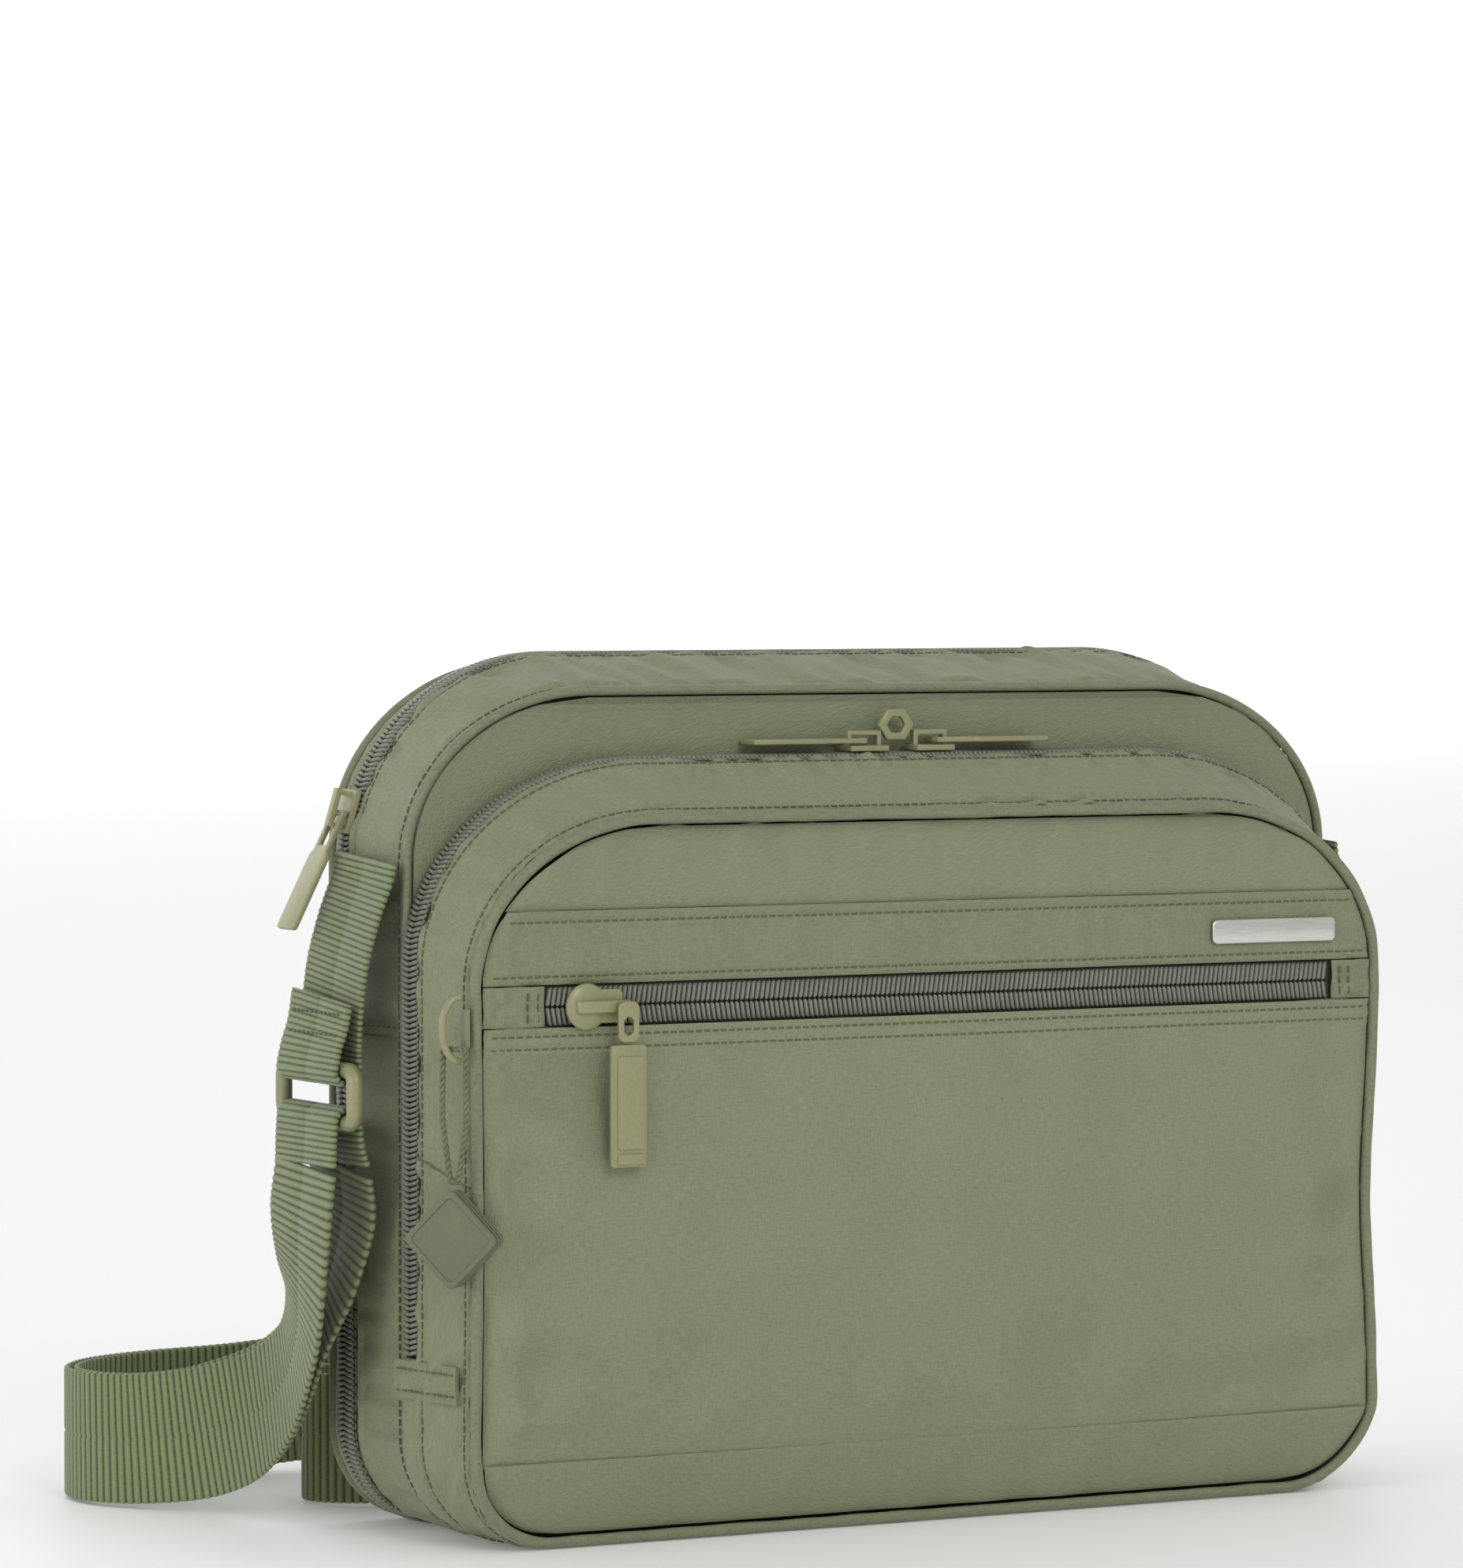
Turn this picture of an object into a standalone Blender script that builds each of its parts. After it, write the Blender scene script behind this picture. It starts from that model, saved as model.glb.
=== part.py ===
"""Crossbody purse: two zipped compartments, a zipped front pocket, a webbing strap on two rings, and a charm.

Metres, +Z up. The front faces -Y and the base rests on Z = 0. Depths are measured back from the front seam.
"""

import math
from collections import namedtuple

import bmesh
import bpy
from mathutils import Euler, Vector

# Outline of the bag at one depth: straight sides, elliptical top corners, round bottom corners.
Section = namedtuple("Section", "half top bottom corner_x corner_z foot")

FRONT_SEAM_Y = -0.0296
GAP = 0.0003
WALL = 0.0016

FRONT = Section(0.1186, 0.1616, 0.0, 0.046, 0.038, 0.022)
FRONT_ZIP = Section(0.1230, 0.1740, 0.0, 0.056, 0.046, 0.024)
MIDDLE = Section(0.1210, 0.1890, 0.0, 0.046, 0.038, 0.024)
MAIN_ZIP = Section(0.1222, 0.1970, 0.0, 0.050, 0.050, 0.024)
REAR = Section(0.1206, 0.1946, 0.0, 0.046, 0.042, 0.022)

# Depths of the layers, front to back.
FRONT_GUSSET = (0.0017, 0.0186)
FRONT_ZIP_DEPTHS = ((0.0189, 0.0219), (0.0231, 0.0261))
FRONT_GUSSET_BACK = 0.0261
MIDDLE_PANEL = (0.0268, 0.0286)
MAIN_GUSSET = (0.0292, 0.0532)
MAIN_ZIP_DEPTHS = ((0.0535, 0.0565), (0.0577, 0.0607))
REAR_RIM = (0.0610, 0.0642)
REAR_SEAM = 0.0660
FRONT_ZIP_CENTRE = 0.0225
MAIN_ZIP_CENTRE = 0.0571

PIPING = 0.0013
PANEL = 0.0016
FRONT_CROWN = 0.0055
REAR_CROWN = 0.0028
COIL = 0.0020

# Heights of the seams on the front and the back.
BASE_SEAM = 0.0190
FOLD = 0.0420
POCKET_TOP = 0.1155
ZIP_MIDDLE = 0.1201
ZIP_TOP = 0.1247
BAND_TOP = 0.1410
GUSSET_SEAM = 0.1120
FLAP_FOLD = 0.1510

WEBBING = 0.0300
WEB_THICK = 0.0014
RING_BAR = 0.0019
RING_OUT = 0.1340
RING_DEPTH = 0.0450
RING_SPREAD = 0.0182
RING_TOP = 0.1053
RING_FOOT = 0.0937
LOOP_RADIUS = 0.0030

# Where the sliders stand, in X, and how far along the left corner the main slider stands, in degrees.
TOP_SLIDERS = (-0.0072, 0.0102)
POCKET_SLIDER = -0.0900
MAIN_SLIDER_ANGLE = 16.6

FABRIC = ((0.215, 0.245, 0.150), 0.75, 0.0)
LINING = ((0.160, 0.170, 0.130), 0.80, 0.0)
TRIM = ((0.190, 0.220, 0.130), 0.70, 0.0)
COIL_GREY = ((0.190, 0.190, 0.165), 0.50, 0.0)
WEB_GREEN = ((0.170, 0.230, 0.100), 0.80, 0.0)
KHAKI = ((0.310, 0.300, 0.170), 0.45, 0.3)
STEEL = ((0.600, 0.600, 0.580), 0.25, 1.0)
RUBBER = ((0.170, 0.190, 0.120), 0.60, 0.0)
BOARD = ((0.120, 0.120, 0.110), 0.85, 0.0)


def clear_scene():
    for obj in list(bpy.data.objects):
        bpy.data.objects.remove(obj, do_unlink=True)


def new_collection(name):
    collection = bpy.data.collections.new(name)
    bpy.context.scene.collection.children.link(collection)
    return collection


clear_scene()
PARTS = new_collection("crossbody_purse")
CUTTERS = new_collection("cutters")


def at(x, depth, z):
    """The point at this depth behind the front seam."""
    return Vector((x, FRONT_SEAM_Y + depth, z))


def finish(obj, look, smooth=True):
    """Links the object and gives it a material of its own."""
    colour, roughness, metallic = look
    material = bpy.data.materials.new(obj.name)
    material.use_nodes = True
    shader = material.node_tree.nodes["Principled BSDF"]
    shader.inputs["Base Color"].default_value = (*colour, 1.0)
    shader.inputs["Roughness"].default_value = roughness
    shader.inputs["Metallic"].default_value = metallic
    obj.data.materials.append(material)
    PARTS.objects.link(obj)
    if smooth and obj.type == "MESH":
        obj.data.shade_smooth()
        obj.data.set_sharp_from_angle(angle=math.radians(35))
    return obj


def pivot(name, location, rotation=(0.0, 0.0, 0.0), parent=None):
    """An empty on a joint's axis, which carries the pieces that move on it."""
    empty = bpy.data.objects.new(name, None)
    empty.empty_display_size = 0.01
    PARTS.objects.link(empty)
    empty.location = location
    empty.rotation_euler = rotation
    if parent:
        empty.parent = parent
    return empty


def carry(empty, *pieces):
    """Parents pieces modelled in world coordinates to an unrotated empty."""
    for piece in pieces:
        piece.parent = empty
        piece.location = piece.location - empty.location


def add_solidify(obj, thickness, offset):
    modifier = obj.modifiers.new("wall", "SOLIDIFY")
    modifier.thickness = thickness
    modifier.offset = offset


def surface(name, rows, closed=False, cap=False):
    """An open surface through rows of points; its normals face away from the bag's middle."""
    mesh = bmesh.new()
    lines = [[mesh.verts.new(point) for point in row] for row in rows]
    count = len(lines[0])
    for near, far in zip(lines, lines[1:]):
        for i in range(count if closed else count - 1):
            j = (i + 1) % count
            mesh.faces.new((near[i], near[j], far[j], far[i]))
    if cap:
        mesh.faces.new(lines[-1])
    middle = sum((v.co for v in mesh.verts), Vector()) / len(mesh.verts)
    mesh.normal_update()
    outward = sum(face.normal.dot(face.calc_center_median() - middle) for face in mesh.faces)
    if outward < 0:
        bmesh.ops.reverse_faces(mesh, faces=mesh.faces)
    data = bpy.data.meshes.new(name)
    mesh.to_mesh(data)
    mesh.free()
    return bpy.data.objects.new(name, data)


def corner(centre_x, centre_z, radius_x, radius_z, start, end, steps=8):
    """Points along an elliptical quarter, both ends included."""
    points = []
    for i in range(steps + 1):
        angle = math.radians(start + (end - start) * i / steps)
        points.append((centre_x + radius_x * math.cos(angle), centre_z + radius_z * math.sin(angle)))
    return points


def run(start, end, steps):
    """Points along a straight stretch, both ends left out."""
    return [
        (start[0] + (end[0] - start[0]) * i / steps, start[1] + (end[1] - start[1]) * i / steps)
        for i in range(1, steps)
    ]


def upper_rim(s, foot):
    """The outline from the height foot on the left, over the top, to foot on the right."""
    left = corner(-s.half + s.corner_x, s.top - s.corner_z, s.corner_x, s.corner_z, 180, 90)
    right = corner(s.half - s.corner_x, s.top - s.corner_z, s.corner_x, s.corner_z, 90, 0)
    points = [(-s.half, foot)]
    if s.top - s.corner_z - foot > 0.004:
        points += run(points[0], left[0], 4) + left
    else:
        points += left[1:]
    points += run(left[-1], right[0], 6) + right
    if s.top - s.corner_z - foot > 0.004:
        points += run(right[-1], (s.half, foot), 4) + [(s.half, foot)]
    else:
        points[-1] = (s.half, foot)
    return points


def lower_rim(s, head):
    """The outline from the height head on the left, under the base, to head on the right."""
    left = corner(-s.half + s.foot, s.bottom + s.foot, s.foot, s.foot, 180, 270, 6)
    right = corner(s.half - s.foot, s.bottom + s.foot, s.foot, s.foot, 270, 360, 6)
    points = [(-s.half, head)]
    if head - s.bottom - s.foot > 0.004:
        points += run(points[0], left[0], 3) + left
    else:
        points += [p for p in left[1:] if p[1] < head - 0.001]
    points += run(points[-1], right[0], 5)
    rising = right if head - s.bottom - s.foot > 0.004 else [p for p in right[:-1] if p[1] < head - 0.001]
    points += rising
    if head - s.bottom - s.foot > 0.004:
        points += run(right[-1], (s.half, head), 3)
    points.append((s.half, head))
    return points


def whole_rim(s):
    """The whole closed outline."""
    waist = s.bottom + 0.5 * (s.top - s.bottom)
    return upper_rim(s, waist) + lower_rim(s, waist)[1:-1][::-1]


def shrunk(s, inset):
    """The same outline, moved inwards."""
    return Section(
        s.half - inset, s.top - inset, s.bottom + inset,
        s.corner_x - inset, s.corner_z - inset, s.foot - inset,
    )


def blend(a, b, share):
    return Section(*(p + (q - p) * share for p, q in zip(a, b)))


def row(outline, depth):
    return [at(x, depth, z) for x, z in outline]


def wall(name, front, back, depths, outline, look, thickness, closed=False):
    """A strip of wall lofted between two outlines, as thick as given in the plane of the outlines."""
    mesh = bmesh.new()
    layers = []
    stations = 2 if closed else 3
    for inset in (0.0, thickness):
        rows = []
        for i in range(stations):
            share = i / (stations - 1)
            depth = depths[0] + (depths[1] - depths[0]) * share
            points = row(outline(shrunk(blend(front, back, share), inset)), depth)
            rows.append([mesh.verts.new(point) for point in points])
        layers.append(rows)
    outer, inner = layers
    count = len(outer[0])
    steps = [(i, (i + 1) % count) for i in range(count if closed else count - 1)]
    for i, j in steps:
        for rows in layers:
            for near, far in zip(rows, rows[1:]):
                mesh.faces.new((near[i], near[j], far[j], far[i]))
        for end in (0, -1):
            mesh.faces.new((outer[end][i], outer[end][j], inner[end][j], inner[end][i]))
    if not closed:
        for i in (0, -1):
            for k in range(stations - 1):
                mesh.faces.new((outer[k][i], outer[k + 1][i], inner[k + 1][i], inner[k][i]))
    bmesh.ops.recalc_face_normals(mesh, faces=mesh.faces)
    data = bpy.data.meshes.new(name)
    mesh.to_mesh(data)
    mesh.free()
    return finish(bpy.data.objects.new(name, data), look)


def gusset(name, front, back, depths, outline, look=FABRIC, thickness=WALL):
    """An open strip of wall; outline turns a section into its points."""
    return wall(name, front, back, depths, outline, look, thickness)


def hoop(name, front, back, depths, look, thickness):
    """A closed band of wall."""
    return wall(name, front, back, depths, whole_rim, look, thickness, closed=True)


def half_width(s, z):
    """Half the outline's width at this height."""
    if z > s.top - s.corner_z:
        rise = min(1.0, (z - s.top + s.corner_z) / s.corner_z)
        return s.half - s.corner_x + s.corner_x * math.sqrt(max(0.0, 1.0 - rise * rise))
    if z < s.bottom + s.foot:
        drop = min(1.0, (s.bottom + s.foot - z) / s.foot)
        return s.half - s.foot + s.foot * math.sqrt(max(0.0, 1.0 - drop * drop))
    return s.half


def panel(name, s, low, high, depth, facing, crown=0.0, span=None, look=FABRIC, columns=12, rows=6, sides=None):
    """A panel between two heights, crowned outwards over span. facing is -1 at the front and 1 at the back."""
    foot, head = span or (low, high)
    mesh = bmesh.new()
    bmesh.ops.create_grid(mesh, x_segments=columns, y_segments=rows, size=1.0)
    for vert in mesh.verts:
        u, v = vert.co.x, vert.co.y
        z = low + (high - low) * (v + 1) / 2
        left, right = sides if sides else (-half_width(s, z), half_width(s, z))
        swell = crown * (1 - u * u) * math.sin(math.pi * (z - foot) / (head - foot))
        vert.co = at(left + (right - left) * (u + 1) / 2, depth + facing * swell, z)
    mesh.normal_update()
    if sum(face.normal.y for face in mesh.faces) * facing < 0:
        bmesh.ops.reverse_faces(mesh, faces=mesh.faces)
    data = bpy.data.meshes.new(name)
    mesh.to_mesh(data)
    mesh.free()
    obj = bpy.data.objects.new(name, data)
    add_solidify(obj, PANEL, -1.0)
    return finish(obj, look)


def curve_data(name, dimensions, splines, cyclic):
    data = bpy.data.curves.new(name, "CURVE")
    data.dimensions = dimensions
    for points in splines:
        spline = data.splines.new("POLY")
        spline.points.add(len(points) - 1)
        for slot, point in zip(spline.points, points):
            slot.co = (*point, 1.0)
        spline.use_cyclic_u = cyclic
    return data


def tube(name, points, radius, look, cyclic=False, resolution=1):
    data = curve_data(name, "3D", [points], cyclic)
    data.bevel_depth = radius
    data.bevel_resolution = resolution
    data.use_fill_caps = not cyclic
    return finish(bpy.data.objects.new(name, data), look)


def wound(outline, anticlockwise):
    """The outline, turned round if it runs the other way."""
    area = sum(a[0] * b[1] - b[0] * a[1] for a, b in zip(outline, outline[1:] + outline[:1]))
    return outline if (area > 0) == anticlockwise else outline[::-1]


def plate(name, outlines, thickness, look, location=(0.0, 0.0, 0.0), rotation=(0.0, 0.0, 0.0)):
    """A flat outline, with any holes after it, extruded to both sides of its own XY plane."""
    turned = [wound(outline, i == 0) for i, outline in enumerate(outlines)]
    flat = [[(x, y, 0.0) for x, y in outline] for outline in turned]
    data = curve_data(name, "2D", flat, True)
    data.fill_mode = "BOTH"
    data.extrude = thickness / 2
    obj = bpy.data.objects.new(name, data)
    obj.location = location
    obj.rotation_euler = rotation
    return finish(obj, look)


def box_mesh(name, low, high):
    mesh = bmesh.new()
    bmesh.ops.create_cube(mesh, size=1.0)
    for vert in mesh.verts:
        for axis in range(3):
            vert.co[axis] = low[axis] if vert.co[axis] < 0 else high[axis]
    data = bpy.data.meshes.new(name)
    mesh.to_mesh(data)
    mesh.free()
    return bpy.data.objects.new(name, data)


def box(name, low, high, look, bevel=0.0):
    obj = box_mesh(name, low, high)
    if bevel:
        modifier = obj.modifiers.new("edge", "BEVEL")
        modifier.width = bevel
        modifier.segments = 2
    return finish(obj, look)


def joined_boxes(name, blocks, look):
    """One solid from boxes that overlap."""
    first, *others = blocks
    obj = box_mesh(name, *first)
    for i, block in enumerate(others):
        helper = box_mesh(f"{name}_block_{i}", *block)
        helper.hide_render = True
        helper.display_type = "WIRE"
        CUTTERS.objects.link(helper)
        helper.parent = obj
        modifier = obj.modifiers.new(f"join_{i}", "BOOLEAN")
        modifier.operation = "UNION"
        modifier.solver = "EXACT"
        modifier.object = helper
    return finish(obj, look)


def rounded_rectangle(width, height, radius, steps=4, middle=(0.0, 0.0)):
    points = []
    for sign_x, sign_y, start in ((1, 1, 0), (-1, 1, 90), (-1, -1, 180), (1, -1, 270)):
        x = middle[0] + sign_x * (width / 2 - radius)
        y = middle[1] + sign_y * (height / 2 - radius)
        points += corner(x, y, radius, radius, start, start + 90, steps)
    return points


def smooth_path(points, steps):
    """Points on a smooth curve through the given ones (Catmull-Rom)."""
    knots = [2 * points[0] - points[1]] + list(points) + [2 * points[-1] - points[-2]]
    path = []
    for a, b, c, d in zip(knots, knots[1:], knots[2:], knots[3:]):
        for i in range(steps):
            t = i / steps
            path.append(
                0.5 * (2 * b + (c - a) * t + (2 * a - 5 * b + 4 * c - d) * t * t + (3 * b - a - 3 * c + d) * t ** 3)
            )
    path.append(points[-1].copy())
    return path


def ribbon(name, centres, across, look=WEB_GREEN):
    """Flat webbing along centres; across gives the direction of its width at each."""
    rows = [
        [centre + direction.normalized() * WEBBING * share for share in (-0.5, 0.5)]
        for centre, direction in zip(centres, across)
    ]
    obj = surface(name, rows)
    add_solidify(obj, WEB_THICK, 0.0)
    return finish(obj, look)


def side_ribbon(name, side, outline, shear=0.0):
    """Webbing whose width runs front to back, from points given as (distance from the middle, depth, height)."""
    centres = [at(side * out, depth, z) for out, depth, z in outline]
    across = [Vector((0.0, 1.0, shear))] * len(centres)
    return ribbon(name, centres, across)


# ---------------------------------------------------------------- front compartment


def front_lid():
    """The front panel with its gusset, pocket and half of the zip; it folds forward where the zip ends."""
    inner = shrunk(FRONT, 0.0023)
    lid = pivot("front_lid", at(0.0, -FRONT_CROWN - 0.0009, FOLD))
    half_zip = [FRONT_ZIP_DEPTHS[0][0], FRONT_ZIP_DEPTHS[0][1]]
    zip_front = shrunk(FRONT_ZIP, 0.0004)
    pieces = [
        gusset("front_gusset", FRONT, FRONT_ZIP, FRONT_GUSSET, lambda s: upper_rim(s, FOLD + GAP)),
        gusset("front_zip_front_coil", zip_front, zip_front, half_zip,
               lambda s: upper_rim(s, FOLD + GAP), COIL_GREY, COIL),
        tube("front_piping", row(upper_rim(shrunk(FRONT, 0.0006), FOLD + GAP), 0.0), PIPING, TRIM),
        panel("upper_front_panel", inner, BAND_TOP + GAP, inner.top, -0.0010, -1, rows=4),
        panel("badge_band", inner, ZIP_TOP + GAP, BAND_TOP, -0.0014, -1, rows=2, look=TRIM),
        panel("pocket_panel", inner, FOLD + GAP, POCKET_TOP, -0.0010, -1, FRONT_CROWN, (BASE_SEAM, POCKET_TOP), rows=8),
    ]
    backing = shrunk(FRONT, 0.0060)
    outline = upper_rim(backing, FOLD + 0.003)
    pieces.append(plate("pocket_backing", [outline], 0.0010, LINING, at(0.0, 0.0029, 0.0), (math.pi / 2, 0.0, 0.0)))
    pieces += pocket_zip(inner)
    pieces.append(
        plate("badge_plate", [rounded_rectangle(0.0338, 0.0056, 0.0012, middle=(0.0886, 0.1322))], 0.0010, STEEL,
              at(0.0, -0.0022, 0.0), (math.pi / 2, 0.0, 0.0))
    )
    carry(lid, *pieces)
    return lid


def pocket_zip(inner):
    """The exposed zip across the front: two coils with a slit between them, and a fabric tab at each end."""
    left, right = -0.1008, 0.1056
    slit = 0.0006
    coils = [
        ("pocket_zip_upper_coil", ZIP_MIDDLE + slit, ZIP_TOP),
        ("pocket_zip_lower_coil", POCKET_TOP + GAP, ZIP_MIDDLE - slit),
    ]
    pieces = [
        panel(name, inner, low, high, -0.0008, -1, look=COIL_GREY, columns=2, rows=1, sides=(left, right))
        for name, low, high in coils
    ]
    for name, sides in (("zip_tab_left", (-inner.half, left - GAP)), ("zip_tab_right", (right + GAP, inner.half))):
        pieces.append(
            panel(name, inner, POCKET_TOP + GAP, ZIP_TOP, -0.0010, -1, look=TRIM, columns=2, rows=1, sides=sides)
        )
    return pieces


def front_fixed_parts():
    """What of the front compartment stays with the bag when the lid folds down."""
    back_zip = shrunk(FRONT_ZIP, 0.0004)
    gusset("front_zip_rear_coil", back_zip, back_zip, FRONT_ZIP_DEPTHS[1],
           lambda s: upper_rim(s, FOLD + GAP), COIL_GREY, COIL)
    gusset("front_base_gusset", FRONT, FRONT_ZIP, (FRONT_GUSSET[0], FRONT_GUSSET_BACK),
           lambda s: lower_rim(s, FOLD - GAP))
    seam = shrunk(FRONT, 0.0006)._replace(bottom=PIPING)
    tube("front_base_piping", row(lower_rim(seam, FOLD - GAP), 0.0), PIPING, TRIM)
    inner = shrunk(FRONT, 0.0023)._replace(bottom=0.0032)
    panel("front_base_strip", inner, inner.bottom, BASE_SEAM - GAP, -0.0010, -1, rows=3)
    panel("lower_front_panel", inner, BASE_SEAM + GAP, FOLD - GAP, -0.0010, -1, FRONT_CROWN, (BASE_SEAM, POCKET_TOP),
          rows=3)
    for name, side in (("zip_end_patch_left", -1), ("zip_end_patch_right", 1)):
        rows = []
        for share in (0.10, 0.55, 1.0):
            s = blend(FRONT, FRONT_ZIP, share)
            depth = FRONT_GUSSET[0] + (FRONT_GUSSET_BACK - FRONT_GUSSET[0]) * share
            out = side * (s.half + GAP + 0.0009)
            rows.append([at(out, depth, z) for z in (0.0330, 0.0372, 0.0414)])
        obj = surface(name, rows)
        add_solidify(obj, 0.0009, 0.0)
        finish(obj, TRIM)


# ---------------------------------------------------------------- main compartment


def main_compartment():
    """The walls round the main compartment and the panel between the two compartments."""
    divider = shrunk(MIDDLE, 0.0017)._replace(bottom=0.0029)
    plate("middle_panel", [whole_rim(divider)], MIDDLE_PANEL[1] - MIDDLE_PANEL[0], FABRIC,
          at(0.0, sum(MIDDLE_PANEL) / 2, 0.0), (math.pi / 2, 0.0, 0.0))
    seam = shrunk(MIDDLE, 0.0002)._replace(bottom=0.0014)
    tube("middle_piping", row(whole_rim(seam), sum(MIDDLE_PANEL) / 2), 0.0011, TRIM, cyclic=True)
    gusset("main_upper_gusset", MIDDLE, MAIN_ZIP, MAIN_GUSSET, lambda s: upper_rim(s, GUSSET_SEAM + GAP))
    gusset("main_lower_gusset", MIDDLE, MAIN_ZIP, MAIN_GUSSET, lambda s: lower_rim(s, GUSSET_SEAM - GAP))
    coil_line = shrunk(MAIN_ZIP, 0.0004)
    gusset("main_zip_front_coil", coil_line, coil_line, MAIN_ZIP_DEPTHS[0],
           lambda s: upper_rim(s, FLAP_FOLD + GAP), COIL_GREY, COIL)
    gusset("expansion_zip", coil_line, coil_line, (MAIN_ZIP_DEPTHS[0][0], MAIN_ZIP_DEPTHS[1][1]),
           lambda s: lower_rim(s, FLAP_FOLD - GAP), COIL_GREY, COIL)
    gusset("rear_lower_rim", MAIN_ZIP, REAR, REAR_RIM, lambda s: lower_rim(s, FLAP_FOLD - GAP))
    seam = shrunk(REAR, 0.0006)._replace(bottom=PIPING)
    tube("rear_lower_piping", row(lower_rim(seam, FLAP_FOLD - GAP), REAR_SEAM), PIPING, TRIM)
    inner = shrunk(REAR, 0.0023)._replace(bottom=0.0032)
    panel("rear_panel", inner, inner.bottom, FLAP_FOLD - GAP, REAR_SEAM + 0.0010, 1, REAR_CROWN, rows=8)
    hoop("main_lining", shrunk(MIDDLE, 0.0021), shrunk(MAIN_ZIP, 0.0021), (0.0296, 0.0520), LINING, 0.0008)
    plate("organiser_pocket", [rounded_rectangle(0.190, 0.115, 0.008, middle=(0.0, 0.078))], 0.0012, LINING,
          at(0.0, 0.0296, 0.0), (math.pi / 2, 0.0, 0.0))
    box("base_board", at(-0.094, 0.0312, 0.0032), at(0.094, 0.0625, 0.0048), BOARD, bevel=0.0005)


def rear_flap():
    """The top of the back with its half of the main zip; it folds back at the height where the zip ends."""
    flap = pivot("rear_flap", at(0.0, REAR_SEAM + 0.0014, FLAP_FOLD))
    coil_line = shrunk(MAIN_ZIP, 0.0004)
    foot = FLAP_FOLD + GAP
    inner = shrunk(REAR, 0.0023)
    pieces = [
        gusset("main_zip_rear_coil", coil_line, coil_line, MAIN_ZIP_DEPTHS[1],
               lambda s: upper_rim(s, foot), COIL_GREY, COIL),
        gusset("rear_upper_rim", MAIN_ZIP, REAR, REAR_RIM, lambda s: upper_rim(s, foot)),
        tube("rear_upper_piping", row(upper_rim(shrunk(REAR, 0.0006), foot), REAR_SEAM), PIPING, TRIM),
        panel("rear_flap_panel", inner, foot, inner.top, REAR_SEAM + 0.0010, 1, rows=5),
    ]
    carry(flap, *pieces)
    return flap


# ---------------------------------------------------------------- zip sliders and pulls


def slider(name, length=0.0100, width=0.0072, bail=0.0044):
    """A slider on a zip that runs along local X with its outside at +Z: plates, a web in the slit and a bail."""
    post = 0.0011
    blocks = [
        ((-length / 2, -width / 2, 0.0019), (length / 2, width / 2, 0.0032)),
        ((-length / 4, -0.00035, -0.0024), (length / 4, 0.00035, 0.0024)),
        ((-length / 2, -width / 2, -0.0029), (length / 2, width / 2, -0.0019)),
        ((-bail, -0.0010, 0.0030), (-bail + post, 0.0010, 0.0066)),
        ((bail - post, -0.0010, 0.0030), (bail, 0.0010, 0.0066)),
        ((-bail, -0.0010, 0.0055), (bail, 0.0010, 0.0066)),
    ]
    return joined_boxes(name, blocks, KHAKI)


def pull(name, width, length, look=KHAKI):
    """A flat pull along local +X whose end bar turns at the origin; the slot clears the slider's bail."""
    slot = 0.0036
    neck = 0.0066
    reach = 0.0094
    start = -0.0006
    outline = [(start, -neck / 2), (reach, -neck / 2), (reach + 0.0012, -width / 2)]
    outline += corner(length - 0.001, -width / 2 + 0.001, 0.001, 0.001, 270, 360, 3)
    outline += corner(length - 0.001, width / 2 - 0.001, 0.001, 0.001, 0, 90, 3)
    outline += [(reach + 0.0012, width / 2), (reach, neck / 2), (start, neck / 2)]
    hole = [(0.0006, -slot / 2), (0.0082, -slot / 2), (0.0082, slot / 2), (0.0006, slot / 2)]
    return plate(name, [outline, hole], 0.0012, look)


def top_sliders():
    """Two sliders meeting on the top of the front zip, each with a pull that lies outwards."""
    coil_height = FRONT_ZIP.top - 0.0004 - COIL / 2
    for side, x, name in ((-1, TOP_SLIDERS[0], "left"), (1, TOP_SLIDERS[1], "right")):
        place = pivot(f"front_slider_{name}_travel", at(x, FRONT_ZIP_CENTRE, coil_height))
        body = slider(f"front_slider_{name}")
        body.parent = place
        turn = pivot(f"front_pull_{name}_lift", (side * 0.0012, 0.0, 0.0043), (0.0, 0.0, 0.0 if side > 0 else math.pi),
                     place)
        handle = pull(f"front_pull_{name}", 0.0080, 0.0290)
        handle.parent = turn
    ring = [(0.0047 * math.cos(math.radians(a)), 0.0041 * math.sin(math.radians(a))) for a in range(0, 360, 60)]
    hole = [(0.0024 * math.cos(math.radians(a)), 0.0021 * math.sin(math.radians(a))) for a in range(0, 360, 60)]
    eye = plate("lock_eye", [ring, hole], 0.0016, KHAKI,
                at(0.0012, FRONT_ZIP_CENTRE - 0.0002, coil_height + 0.0078), (math.pi / 2, 0.0, 0.0))
    carry(bpy.data.objects["front_slider_left_travel"], eye)


def main_slider():
    """The main zip's slider, on the left top corner; it travels round the corner's centre."""
    radius = MAIN_ZIP.corner_x - 0.0004 - COIL / 2
    centre = at(-MAIN_ZIP.half + MAIN_ZIP.corner_x, MAIN_ZIP_CENTRE, MAIN_ZIP.top - MAIN_ZIP.corner_z)
    lean = math.radians(MAIN_SLIDER_ANGLE) - math.pi / 2
    travel = pivot("main_slider_travel", centre, (0.0, lean, 0.0))
    body = slider("main_slider")
    body.parent = travel
    body.location = (0.0, 0.0, radius)
    hang = math.radians(180 + 27 - MAIN_SLIDER_ANGLE)
    turn = pivot("main_pull_lift", (-0.0008, 0.0, radius + 0.0043), (0.0, hang, 0.0), travel)
    handle = pull("main_pull", 0.0088, 0.0290)
    handle.parent = turn


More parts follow.
